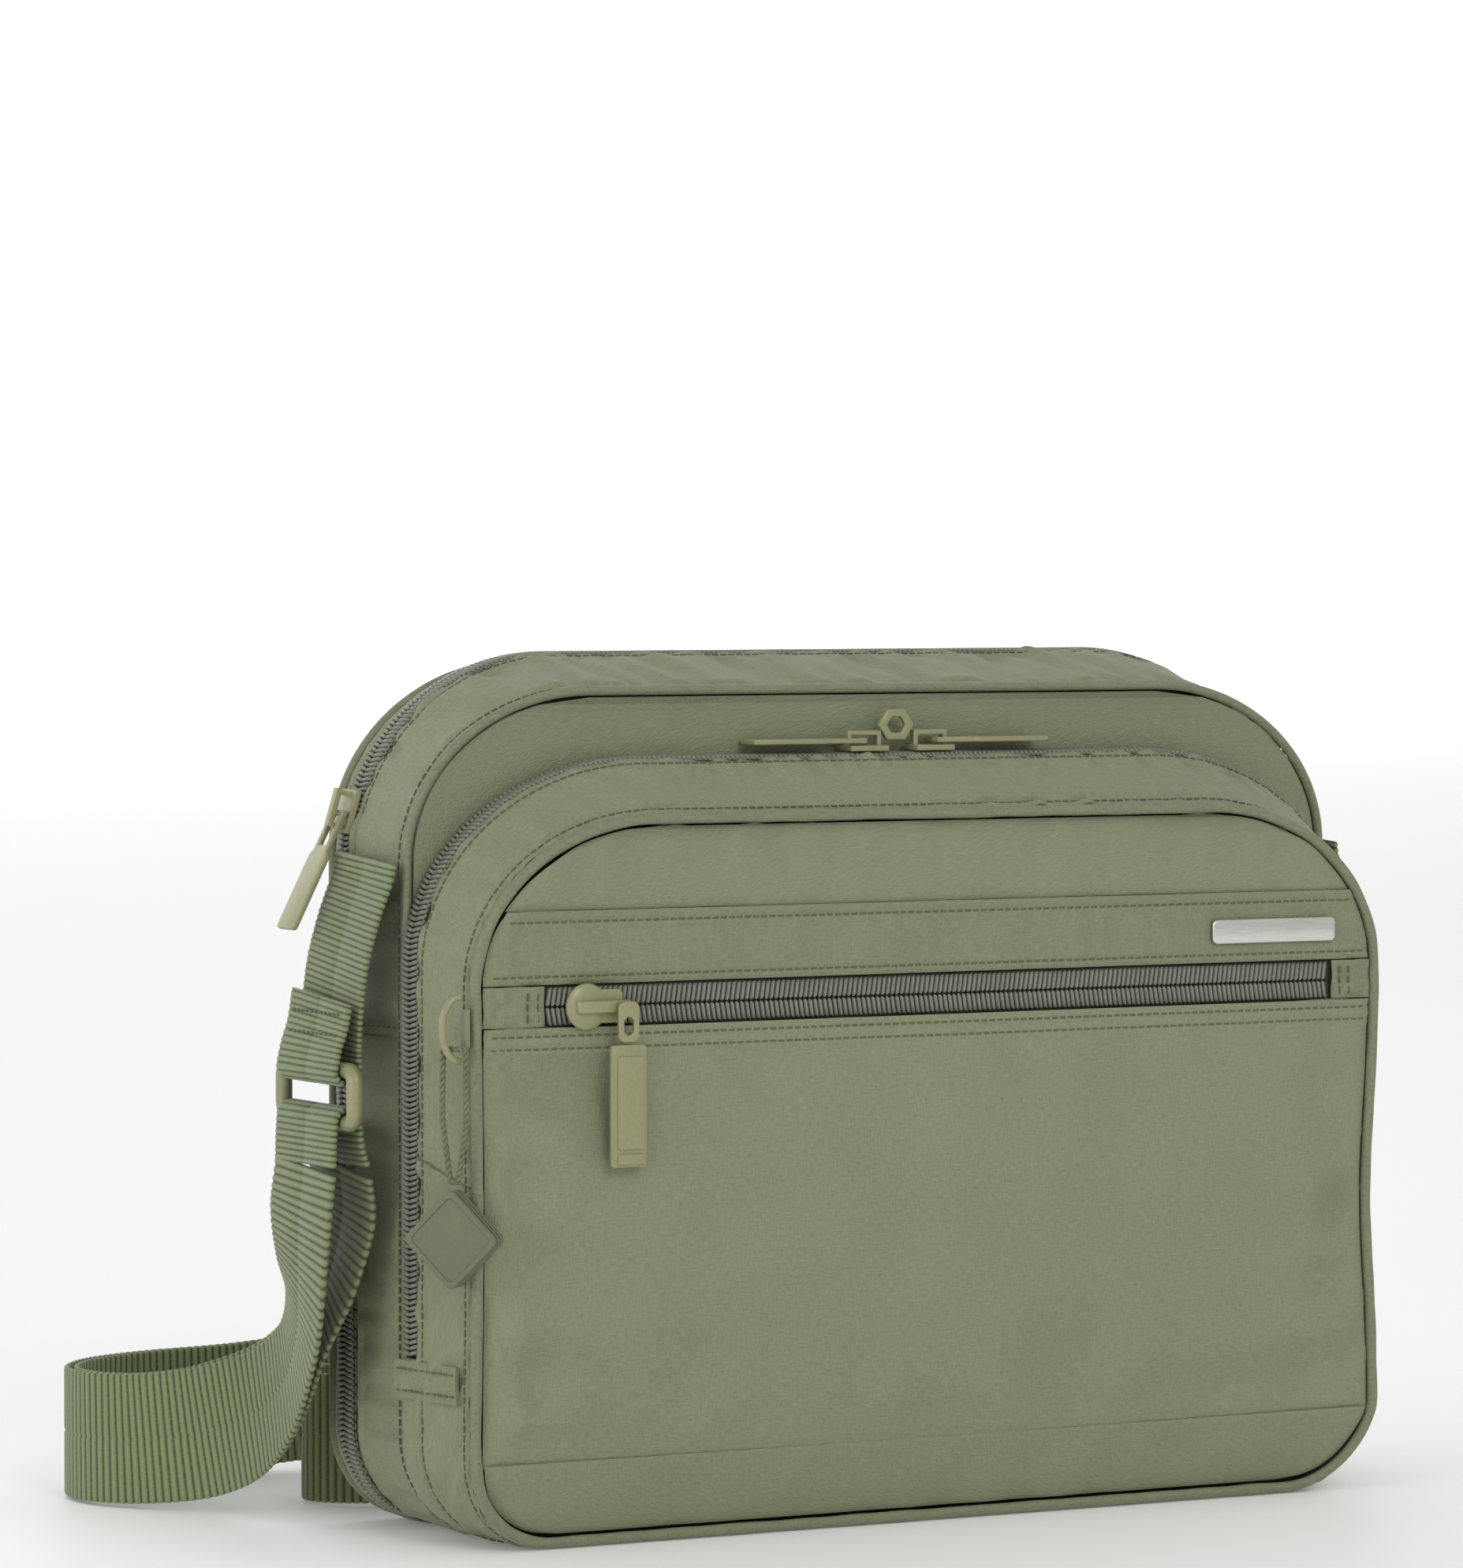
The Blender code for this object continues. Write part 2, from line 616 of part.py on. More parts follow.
def pocket_slider():
    """The pocket's slider, whose pull hangs from a pin and lifts at its link."""
    y_turn = (math.pi / 2, 0.0, 0.0)
    travel = pivot("pocket_slider_travel", at(POCKET_SLIDER, -0.0000, ZIP_MIDDLE))
    body = joined_boxes(
        "pocket_slider",
        [
            ((-0.0070, -0.0052, 0.0021), (0.0066, 0.0052, 0.0034)),
            ((-0.0030, -0.00035, -0.0018), (0.0030, 0.00035, 0.0026)),
            ((-0.0048, -0.0036, -0.0022), (0.0048, 0.0036, -0.0012)),
            ((-0.0050, -0.0016, 0.0030), (0.0082, 0.0016, 0.0054)),
        ],
        KHAKI,
    )
    body.parent = travel
    body.rotation_euler = y_turn
    swing = pivot("pocket_pull_swing", (0.0066, -0.0064, 0.0), parent=travel)
    frame = rounded_rectangle(0.0050, 0.0090, 0.0012, 2, middle=(0.0, -0.0034))
    window = rounded_rectangle(0.0024, 0.0040, 0.0008, 1, middle=(0.0, -0.0044))
    link = plate("pocket_pull_link", [frame, window], 0.0012, KHAKI, rotation=y_turn)
    link.parent = swing
    lift = pivot("pocket_pull_lift", (0.0, 0.0, -0.0088), parent=swing)
    tab_outline = rounded_rectangle(0.0092, 0.0270, 0.0010, 3, middle=(0.0, -0.0132))
    tab = plate("pocket_pull", [tab_outline], 0.0014, KHAKI, rotation=y_turn)
    tab.parent = lift


# ---------------------------------------------------------------- strap, rings and charm

# The strap's centre line, left ring to right ring, as (x, depth, z), and the direction of its width at each point.
STRAP_ROUTE = [
    ((-0.1374, 0.0450, 0.0834), (0.0, 1.0, 0.0)),
    ((-0.1382, 0.0460, 0.0720), (0.0, 1.0, 0.0)),
    ((-0.1370, 0.0490, 0.0580), (0.1, 1.0, 0.15)),
    ((-0.1338, 0.0560, 0.0450), (0.2, 0.85, 0.45)),
    ((-0.1318, 0.0670, 0.0330), (0.2, 0.65, 0.75)),
    ((-0.1330, 0.0810, 0.0240), (0.1, 0.40, 0.92)),
    ((-0.1392, 0.0950, 0.0185), (0.0, 0.15, 1.0)),
    ((-0.1485, 0.1080, 0.0162), (0.0, 0.0, 1.0)),
    ((-0.1560, 0.1220, 0.0156), (0.0, 0.0, 1.0)),
    ((-0.1550, 0.1370, 0.0155), (0.0, 0.0, 1.0)),
    ((-0.1440, 0.1500, 0.0155), (0.0, 0.0, 1.0)),
    ((-0.1260, 0.1575, 0.0155), (0.0, 0.0, 1.0)),
    ((-0.1040, 0.1575, 0.0160), (0.0, 0.0, 1.0)),
    ((-0.0800, 0.1537, 0.0180), (0.0, 0.0, 1.0)),
    ((-0.0610, 0.1515, 0.0186), (0.0, 0.0, 1.0)),
    ((-0.0562, 0.1520, 0.0186), (0.0, 0.0, 1.0)),
    ((-0.0510, 0.1552, 0.0186), (0.0, 0.0, 1.0)),
    ((-0.0450, 0.1582, 0.0186), (0.0, 0.0, 1.0)),
    ((-0.0390, 0.1552, 0.0186), (0.0, 0.0, 1.0)),
    ((-0.0338, 0.1520, 0.0186), (0.0, 0.0, 1.0)),
    ((-0.0290, 0.1515, 0.0186), (0.0, 0.0, 1.0)),
    ((-0.0080, 0.1535, 0.0175), (0.0, 0.0, 1.0)),
    ((0.0300, 0.1545, 0.0155), (0.0, 0.0, 1.0)),
    ((0.0850, 0.1535, 0.0155), (0.0, 0.0, 1.0)),
    ((0.1060, 0.1465, 0.0155), (0.0, 0.0, 1.0)),
    ((0.1130, 0.1350, 0.0155), (0.0, 0.0, 1.0)),
    ((0.1060, 0.1235, 0.0155), (0.0, 0.0, 1.0)),
    ((0.0860, 0.1175, 0.0155), (0.0, 0.0, 1.0)),
    ((0.0300, 0.1165, 0.0155), (0.0, 0.0, 1.0)),
    ((-0.0400, 0.1165, 0.0155), (0.0, 0.0, 1.0)),
    ((-0.0860, 0.1155, 0.0155), (0.0, 0.0, 1.0)),
    ((-0.1050, 0.1085, 0.0155), (0.0, 0.0, 1.0)),
    ((-0.1110, 0.0990, 0.0155), (0.0, 0.0, 1.0)),
    ((-0.1040, 0.0895, 0.0155), (0.0, 0.0, 1.0)),
    ((-0.0850, 0.0845, 0.0155), (0.0, 0.0, 1.0)),
    ((-0.0300, 0.0835, 0.0155), (0.0, 0.0, 1.0)),
    ((0.0300, 0.0835, 0.0155), (0.0, 0.0, 1.0)),
    ((0.0860, 0.0825, 0.0158), (0.0, 0.0, 1.0)),
    ((0.1110, 0.0785, 0.0175), (0.0, 0.12, 1.0)),
    ((0.1260, 0.0705, 0.0230), (-0.1, 0.40, 0.92)),
    ((0.1350, 0.0605, 0.0340), (-0.2, 0.65, 0.75)),
    ((0.1385, 0.0520, 0.0490), (-0.1, 0.90, 0.35)),
    ((0.1378, 0.0465, 0.0610), (0.0, 1.0, 0.1)),
    ((0.1373, 0.0450, 0.0696), (0.0, 1.0, 0.0)),
]

# The return layer runs from the left ring back to the adjuster, inside the strap.
RETURN_ROUTE = [
    ((-0.1288, 0.0450, 0.0834), (0.0, 1.0, 0.0)),
    ((-0.1272, 0.0468, 0.0720), (0.0, 1.0, 0.0)),
    ((-0.1282, 0.0505, 0.0590), (0.1, 1.0, 0.15)),
    ((-0.1300, 0.0575, 0.0470), (0.2, 0.85, 0.45)),
    ((-0.1292, 0.0685, 0.0350), (0.2, 0.65, 0.75)),
    ((-0.1307, 0.0820, 0.0256), (0.1, 0.40, 0.92)),
    ((-0.1374, 0.0966, 0.0190), (0.0, 0.15, 1.0)),
    ((-0.1467, 0.1094, 0.0162), (0.0, 0.0, 1.0)),
    ((-0.1538, 0.1224, 0.0156), (0.0, 0.0, 1.0)),
    ((-0.1530, 0.1360, 0.0155), (0.0, 0.0, 1.0)),
    ((-0.1428, 0.1481, 0.0155), (0.0, 0.0, 1.0)),
    ((-0.1255, 0.1553, 0.0155), (0.0, 0.0, 1.0)),
    ((-0.1040, 0.1553, 0.0160), (0.0, 0.0, 1.0)),
    ((-0.0800, 0.1515, 0.0180), (0.0, 0.0, 1.0)),
    ((-0.0610, 0.1493, 0.0186), (0.0, 0.0, 1.0)),
    ((-0.0560, 0.1490, 0.0186), (0.0, 0.0, 1.0)),
]

ADJUSTER = (-0.0450, 0.1550, 0.0186)


def routed_ribbon(name, route, steps=4):
    centres = smooth_path([at(*place) for place, _ in route], steps)
    across = smooth_path([Vector(width) for _, width in route], steps)
    return ribbon(name, centres, across)


def around_bar(height, start, end):
    """Points round a ring's bar, in the plane across it, as (distance from the middle, depth, height)."""
    return [
        (x, RING_DEPTH, z)
        for x, z in corner(RING_OUT, height, LOOP_RADIUS, LOOP_RADIUS, start, end, 8)
    ]


def side_hardware(name, side):
    """The webbing tab sewn to the side, the ring in its fold and the end of the strap on the ring."""
    tab = [
        (0.1244, 0.0405, 0.1520), (0.1254, 0.0409, 0.1470), (0.1280, 0.0418, 0.1390), (0.1302, 0.0430, 0.1290),
        (0.1310, 0.0442, 0.1190), (0.1311, 0.0449, 0.1110),
    ]
    tab += around_bar(RING_TOP, 180, 360)
    tab += [(0.1360, 0.0449, 0.1100), (0.1345, 0.0446, 0.1150), (0.1337, 0.0441, 0.1210)]
    side_ribbon(f"{name}_tab", side, tab)
    ring_path = [
        at(side * RING_OUT, RING_DEPTH + y, (RING_TOP + RING_FOOT) / 2 + z)
        for y, z in rounded_rectangle(2 * RING_SPREAD, RING_TOP - RING_FOOT, 0.0030, 3)
    ]
    ring = tube(f"{name}_ring", ring_path, RING_BAR, KHAKI, cyclic=True, resolution=2)
    legs = [(0.1373, RING_DEPTH, 0.0700), (0.1374, RING_DEPTH, 0.0800)]
    tail = [(0.1322, RING_DEPTH, 0.0860), (0.1345, RING_DEPTH, 0.0790), (0.1351, RING_DEPTH, 0.0700)]
    if side < 0:
        legs = [(0.1374, RING_DEPTH, 0.0838), (0.1373, RING_DEPTH, 0.0890)]
        tail = [(0.1303, RING_DEPTH, 0.0880), (0.1289, RING_DEPTH, 0.0838)]
    loop = side_ribbon(f"{name}_strap_loop", side, legs + around_bar(RING_FOOT, 0, 180) + tail)
    swing = pivot(f"{name}_ring_swing", at(side * RING_OUT, RING_DEPTH, RING_TOP))
    carry(swing, ring, loop)


def strap():
    routed_ribbon("strap", STRAP_ROUTE)
    routed_ribbon("strap_return", RETURN_ROUTE)
    frame = rounded_rectangle(0.0260, 0.0360, 0.0022, 3)
    slots = [rounded_rectangle(0.0088, 0.0308, 0.0010, 2, middle=(x, 0.0)) for x in (-0.0060, 0.0060)]
    plate("adjuster", [frame] + slots, 0.0020, KHAKI, at(*ADJUSTER), (math.pi / 2, 0.0, 0.0))


def charm():
    """A small half ring at the front left seam, with a square tag hanging on its corner from a cord."""
    lid = bpy.data.objects["front_lid"]
    height = 0.1160
    loop = box("charm_loop", at(-0.1210, -0.0014, height - 0.0042), at(-0.1197, 0.0010, height + 0.0042), TRIM, 0.0003)
    arch = corner(-0.1221, height, 0.0043, 0.0070, 90, 270, 8)
    ring = tube("charm_ring", [at(x, -0.0008, z) for x, z in arch], 0.0008, KHAKI)
    carry(lid, loop, ring)
    swing = pivot("charm_swing", at(-0.1234, -0.0008, height - 0.0070), (0.0, 0.0, math.radians(-50)))
    strands = [
        (-0.0027, 0.0027), (0.0027, 0.0027), (0.0029, -0.0123), (0.0010, -0.0263), (-0.0010, -0.0263),
        (-0.0029, -0.0123),
    ]
    cord = tube("charm_cord", [Vector((x, 0.0, z)) for x, z in strands], 0.0007, RUBBER, cyclic=True)
    cord.parent = swing
    side = 0.0160
    turn = pivot("charm_turn", (0.0, 0.0, -0.0269), parent=swing)
    tag = plate("charm_tag", [rounded_rectangle(side, side, 0.0015, 3)], 0.0050, RUBBER)
    tag.rotation_euler = Euler((math.pi / 2, math.radians(45), 0.0))
    tag.location = (0.0, 0.0, -0.0006 - side / math.sqrt(2))
    tag.parent = turn
    swing.parent = lid
    swing.location = swing.location - lid.location


front_lid()
front_fixed_parts()
main_compartment()
rear_flap()
top_sliders()
main_slider()
pocket_slider()
side_hardware("left", -1)
side_hardware("right", 1)
strap()
charm()
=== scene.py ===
"""Crossbody purse: the visual model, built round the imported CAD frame. Metres, +Z up, the front faces -Y."""

import math
from collections import namedtuple

import bmesh
import bpy
import numpy as np
from mathutils import Euler, Matrix, Vector


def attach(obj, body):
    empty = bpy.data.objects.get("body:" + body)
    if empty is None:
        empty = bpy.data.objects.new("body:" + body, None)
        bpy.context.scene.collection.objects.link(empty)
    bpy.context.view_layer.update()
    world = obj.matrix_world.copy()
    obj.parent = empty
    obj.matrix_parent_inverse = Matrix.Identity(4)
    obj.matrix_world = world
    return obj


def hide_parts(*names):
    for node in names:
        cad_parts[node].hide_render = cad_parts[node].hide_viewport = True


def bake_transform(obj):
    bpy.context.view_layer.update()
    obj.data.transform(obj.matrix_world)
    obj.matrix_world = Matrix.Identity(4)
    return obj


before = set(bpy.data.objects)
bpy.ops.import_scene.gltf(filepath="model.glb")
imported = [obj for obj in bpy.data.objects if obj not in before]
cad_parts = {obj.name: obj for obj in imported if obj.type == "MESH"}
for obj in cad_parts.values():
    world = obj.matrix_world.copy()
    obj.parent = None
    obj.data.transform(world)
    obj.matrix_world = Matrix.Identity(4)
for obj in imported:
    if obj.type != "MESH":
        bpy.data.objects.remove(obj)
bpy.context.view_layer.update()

# Outline of the bag at one depth: straight sides, elliptical top corners, round bottom corners.
Section = namedtuple("Section", "half top bottom corner_x corner_z foot")

FRONT_SEAM_Y = -0.0296
FRONT = Section(0.1186, 0.1616, 0.0, 0.046, 0.038, 0.022)
FRONT_ZIP = Section(0.123, 0.174, 0.0, 0.056, 0.046, 0.024)
MIDDLE = Section(0.121, 0.189, 0.0, 0.046, 0.038, 0.024)
MAIN_ZIP = Section(0.1222, 0.197, 0.0, 0.05, 0.05, 0.024)
REAR = Section(0.1206, 0.1946, 0.0, 0.046, 0.042, 0.022)

FRONT_GUSSET = (0.0017, 0.0186)
FRONT_ZIP_CENTRE = 0.0225
FRONT_GUSSET_BACK = 0.0261
MIDDLE_DEPTH = 0.0277
MAIN_GUSSET = (0.0292, 0.0532)
MAIN_ZIP_CENTRE = 0.0571
REAR_RIM = (0.061, 0.0642)
REAR_SEAM = 0.066

BASE_SEAM = 0.019
FOLD = 0.042
POCKET_TOP = 0.1155
ZIP_MIDDLE = 0.1201
ZIP_TOP = 0.1247
BAND_TOP = 0.141
GUSSET_SEAM = 0.112
FLAP_FOLD = 0.151
GAP = 0.0003
FRONT_CROWN = 0.0055
REAR_CROWN = 0.0028
WALL = 0.0012
SEAM_BULGE = 0.0014
PINCH = 0.0022
FOOT_CURL = 0.005
SLACK_PIECES = ("front_band_skin", "front_band_stitches", "front_piping_cord", "pocket_skin", "front_base_strip_skin")

WEBBING = 0.03
WEB_THICK = 0.0014
RIB = 0.0019
FINE_RIB = 0.0014
RING_BAR = 0.0019
RING_OUT = 0.134
RING_DEPTH = 0.045
RING_SPREAD = 0.0182
RING_TOP = 0.1053
RING_FOOT = 0.0937
LOOP_RADIUS = 0.003
STITCH_PITCH = 0.0021
FLOOR_CLEAR = 0.0002
POCKET_SLIDER = -0.09

LID_BEND = ((0.0, 0.0, 0.036), (0.0, 0.0, 0.05))
FLAP_BEND = ((0.0, 0.0, 0.146), (0.0, 0.0, 0.157))
FORWARD, BACKWARD = (0, -1, 0), (0, 1, 0)

# Stitch rows: shares of the two gussets' widths, and heights on the front.
BAND_SEAMS = (0.11, 0.9)
GUSSET_SEAMS = (0.08, 0.92)
BAND_ROWS = (0.1388, 0.1268)
POCKET_ROWS = (0.1137, 0.1109)

# ---------------------------------------------------------------- materials


def new_material(name, colour, roughness, metallic=0.0, **sockets):
    """A material, its node tree and its shader; further sockets are given by name, such as Sheen_Weight."""
    material = bpy.data.materials.new(name)
    material.use_nodes = True
    tree = material.node_tree
    shader = tree.nodes["Principled BSDF"]
    sockets.update(Base_Color=(*colour, 1.0), Roughness=roughness, Metallic=metallic)
    for socket, value in sockets.items():
        shader.inputs[socket.replace("_", " ")].default_value = value
    return material, tree, shader


def node(tree, kind, **values):
    made = tree.nodes.new(kind)
    for key, value in values.items():
        if key.startswith("in_"):
            made.inputs[key[3:].replace("_", " ")].default_value = value
        else:
            setattr(made, key, value)
    return made


def math_node(tree, operation, a, b):
    made = node(tree, "ShaderNodeMath", operation=operation)
    for socket, value in zip(made.inputs, (a, b)):
        if isinstance(value, (int, float)):
            socket.default_value = value
        else:
            tree.links.new(value, socket)
    return made.outputs[0]


def weighted(tree, a, share_a, b, share_b=None):
    """a in its share, plus b in its own share or, with none given, all of b."""
    first = math_node(tree, "MULTIPLY", a, share_a)
    return math_node(tree, "ADD", first, b if share_b is None else math_node(tree, "MULTIPLY", b, share_b))


def coordinates(tree, output, scale):
    source = node(tree, "ShaderNodeTexCoord")
    mapping = node(tree, "ShaderNodeMapping")
    mapping.inputs["Scale"].default_value = scale
    tree.links.new(source.outputs[output], mapping.inputs["Vector"])
    return mapping.outputs["Vector"]


def noise_at(tree, output, scale, detail):
    made = node(tree, "ShaderNodeTexNoise", in_Scale=1.0, in_Detail=detail, in_Roughness=0.5)
    tree.links.new(coordinates(tree, output, scale), made.inputs["Vector"])
    return made.outputs["Fac"]


def paint(tree, shader, factor, stops):
    """Colours the shader along stops of (place, colour), read by factor."""
    made = node(tree, "ShaderNodeValToRGB")
    elements = made.color_ramp.elements
    while len(elements) < len(stops):
        elements.new(0.5)
    for element, (place, colour) in zip(elements, stops):
        element.position = place
        element.color = (*colour, 1.0)
    tree.links.new(factor, made.inputs["Fac"])
    tree.links.new(made.outputs["Color"], shader.inputs["Base Color"])


def shade(colour, factor):
    return tuple(min(1.0, c * factor) for c in colour)


def bump(tree, shader, height, distance):
    made = node(tree, "ShaderNodeBump", in_Strength=1.0, in_Distance=distance)
    tree.links.new(height, made.inputs["Height"])
    tree.links.new(made.outputs["Normal"], shader.inputs["Normal"])


def woven(name, colour, roughness=0.62, sheen=0.08, thread=2500.0, contrast=0.19, output="UV"):
    """Fine plain weave: two crossed sets of uneven threads, over soft cloudy shading."""
    material, tree, shader = new_material(name, colour, roughness, Sheen_Weight=sheen, Sheen_Roughness=0.5,
                                          Specular_IOR_Level=0.32)
    warp = noise_at(tree, output, (thread, thread * 0.2, thread), 1.0)
    weft = noise_at(tree, output, (thread * 0.2, thread, thread), 1.0)
    weave = math_node(tree, "ADD", warp, weft)
    cloud = noise_at(tree, "Object", (38.0, 38.0, 38.0), 3.0)
    paint(tree, shader, weighted(tree, weave, 0.42, cloud, 0.16),
          [(0.28, shade(colour, 1 - contrast)), (0.5, colour), (0.72, shade(colour, 1 + contrast))])
    tree.links.new(weighted(tree, cloud, 0.16, roughness - 0.08), shader.inputs["Roughness"])
    bump(tree, shader, weave, 0.00015)
    return material


def plain(name, colour, roughness, metallic=0.0, scale=900.0, contrast=0.1, depth=0.00003, coat=0.0):
    """Painted, moulded or spun surface with fine grain and a little uneven gloss."""
    material, tree, shader = new_material(name, colour, roughness, metallic, Coat_Weight=coat, Coat_Roughness=0.25)
    grain = noise_at(tree, "Object", (scale,) * 3, 3.0)
    broad = noise_at(tree, "Object", (scale * 0.08,) * 3, 2.0)
    paint(tree, shader, weighted(tree, grain, 0.5, broad, 0.5),
          [(0.3, shade(colour, 1 - contrast)), (0.7, shade(colour, 1 + contrast))])
    tree.links.new(weighted(tree, broad, 0.18, roughness - 0.09), shader.inputs["Roughness"])
    bump(tree, shader, grain, depth)
    return material


def webbing_look(name, colour, painted_furrow_shade, rib):
    """Ribbed webbing: painted shade in the furrows between the ribs, fine threads along them."""
    material, tree, shader = new_material(name, colour, 0.68, Sheen_Weight=0.2, Specular_IOR_Level=0.3)
    wave = node(tree, "ShaderNodeTexWave", wave_type="BANDS", bands_direction="Y", wave_profile="SIN")
    wave.inputs["Scale"].default_value = 2 * math.pi / 20 / rib
    tree.links.new(coordinates(tree, "UV", (1.0, 1.0, 1.0)), wave.inputs["Vector"])
    thread = noise_at(tree, "UV", (2600.0, 500.0, 1.0), 1.5)
    # The darkest colour is painted shade, laid in the furrows between the ribs; the rib crests come out a little
    # lighter.
    paint(tree, shader, weighted(tree, wave.outputs["Fac"], 0.75, thread, 0.25),
          [(0.1, painted_furrow_shade), (0.42, shade(colour, 0.86)), (0.9, shade(colour, 1.1))])
    bump(tree, shader, thread, 0.00012)
    return material


def brushed(name, colour):
    """Bright metal drawn along its length."""
    material, tree, shader = new_material(name, colour, 0.24, 1.0)
    lines = noise_at(tree, "Object", (120.0, 120.0, 6000.0), 2.0)
    tree.links.new(weighted(tree, lines, 0.22, 0.14), shader.inputs["Roughness"])
    paint(tree, shader, lines, [(0.3, shade(colour, 0.88)), (0.7, shade(colour, 1.08))])
    bump(tree, shader, lines, 0.00002)
    return material


GREEN = (0.226, 0.244, 0.148)
FABRIC = woven("fabric_nylon", GREEN)
FABRIC_TRIM = woven("trim_nylon", shade(GREEN, 0.93))
LINING = woven("lining_cloth", (0.16, 0.17, 0.125), 0.75, 0.1)
PIPING = woven("piping_cloth", shade(GREEN, 0.88), output="Object", thread=1500.0)
THREAD = plain("sewing_thread", (0.105, 0.118, 0.058), 0.62, scale=2500.0, contrast=0.2)
TAPE = woven("zip_tape", (0.045, 0.047, 0.036), 0.8, 0.0, contrast=0.2)
TEETH = plain("zip_coil", (0.2, 0.205, 0.162), 0.46, scale=1500.0, contrast=0.15)
# The second, dark colour is painted shade for the furrows between the webbing's ribs.
WEB, WEB_FINE = (webbing_look(name, (0.205, 0.246, 0.116), (0.045, 0.058, 0.022), rib)
                 for name, rib in (("webbing_green", RIB), ("webbing_green_fine", FINE_RIB)))
KHAKI = plain("khaki_paint", (0.285, 0.285, 0.15), 0.4, 0.15, coat=0.15)
STEEL = brushed("bright_bar", (0.66, 0.66, 0.62))
RUBBER = plain("charm_rubber", (0.135, 0.15, 0.085), 0.55, scale=1400.0)
CORD_LOOK = plain("charm_cord_fibre", (0.15, 0.17, 0.085), 0.7, scale=2200.0, contrast=0.2)
BOARD = plain("board_grey", (0.11, 0.11, 0.1), 0.85, scale=700.0, contrast=0.15)

# ---------------------------------------------------------------- shape helpers


def at(x, depth, z):
    return np.array((x, FRONT_SEAM_Y + depth, z), float)


def shrunk(s, inset):
    return Section(s.half - inset, s.top - inset, s.bottom + inset,
                   s.corner_x - inset, s.corner_z - inset, s.foot - inset)


def between(a, b, share):
    return Section(*(p + (q - p) * share for p, q in zip(a, b)))


def half_width(s, z):
    z = np.asarray(z, float)
    rise = clamp((z - s.top + s.corner_z) / s.corner_z)
    drop = clamp((s.bottom + s.foot - z) / s.foot)
    upper_part = s.half - s.corner_x + s.corner_x * np.sqrt(1.0 - rise * rise)
    lower_part = s.half - s.foot + s.foot * np.sqrt(1.0 - drop * drop)
    return np.minimum(upper_part, lower_part)


def along(points):
    """Distance along a line of points."""
    steps = np.linalg.norm(np.diff(points, axis=0), axis=1)
    return np.concatenate([[0.0], np.cumsum(steps)])


def sampled(places, travelled, values):
    """Values given along a line, read at other distances along it."""
    return np.column_stack([np.interp(places, travelled, column) for column in values.T])


def resample(points, count):
    points = np.asarray(points, float)
    travelled = along(points)
    return sampled(np.linspace(0.0, travelled[-1], count), travelled, points)


def arc(centre_x, centre_z, radius_x, radius_z, start, end, steps=60):
    angle = np.radians(np.linspace(start, end, steps))
    return np.column_stack([centre_x + radius_x * np.cos(angle), centre_z + radius_z * np.sin(angle)])


def mirrored(left):
    return np.vstack([left, left[::-1] * (-1.0, 1.0)])


def upper(s, foot, count):
    """The outline from height foot on the left, over the top, to foot on the right."""
    knee = s.top - s.corner_z
    lift = math.degrees(math.asin(min(1.0, max(0.0, (foot - knee) / s.corner_z))))
    left = arc(-s.half + s.corner_x, knee, s.corner_x, s.corner_z, 180 - lift, 90)
    if foot < knee:
        left = np.vstack([[(-s.half, foot)], left])
    return resample(mirrored(left), count)


def lower(s, head, count):
    """The outline from height head on the left, under the base, to head on the right."""
    ankle = s.bottom + s.foot
    sink = math.degrees(math.asin(min(1.0, max(0.0, (ankle - head) / s.foot))))
    left = arc(-s.half + s.foot, ankle, s.foot, s.foot, 180 + sink, 270)
    if head > ankle:
        left = np.vstack([[(-s.half, head)], left])
    return resample(mirrored(left), count)


def whole(s, count):
    """The closed outline, from the left at half height over the top and back under the base."""
    waist = (s.top + s.bottom) / 2
    line = np.vstack([upper(s, waist, 4 * count), lower(s, waist, 4 * count)[::-1][1:]])
    return resample(line, count + 1)[:-1]


def line_at(x, depth, z):
    """Points from arrays or single numbers, one of them at least an array."""
    return np.column_stack(np.broadcast_arrays(x, FRONT_SEAM_Y + depth, z))


def rows_of(outline, depth):
    return line_at(outline[:, 0], depth, outline[:, 1])


def above(foot):
    """Outline maker for the part of a section above a height."""
    return lambda s, count: upper(s, foot, count)


def below(head):
    return lambda s, count: lower(s, head, count)


def clamp(value):
    return np.clip(value, 0, 1)


def ripple(a, b, size, seed, waves=7):
    """Smooth uneven relief about one unit high."""
    draw = np.random.default_rng(seed)
    total = 0.0
    for _ in range(waves):
        angle, pace, phase = draw.uniform(0, 2 * np.pi), draw.uniform(0.6, 1.6), draw.uniform(0, 2 * np.pi)
        total = total + np.sin(2 * np.pi / size * pace * (a * np.cos(angle) + b * np.sin(angle)) + phase)
    return total / math.sqrt(waves)


def groove(place, centre, width):
    return np.exp(-(((place - centre) / width) ** 2))


def unit(v):
    return v / np.maximum(np.linalg.norm(v, axis=-1, keepdims=True), 1e-12)


def linked(name, data):
    obj = bpy.data.objects.new(name, data)
    bpy.context.scene.collection.objects.link(obj)
    return obj


def barrel(rings, sides, closed=False):
    """Faces that join rings of points one to the next; the ends are capped unless closed."""
    index = np.arange(rings * sides).reshape(rings, sides)
    current, following = (index, np.roll(index, -1, 0)) if closed else (index[:-1], index[1:])
    quads = np.stack([current, np.roll(current, -1, 1), np.roll(following, -1, 1), following], axis=-1)
    faces = [tuple(q) for q in quads.reshape(-1, 4)]
    return faces if closed else faces + [tuple(index[0][::-1]), tuple(index[-1])]


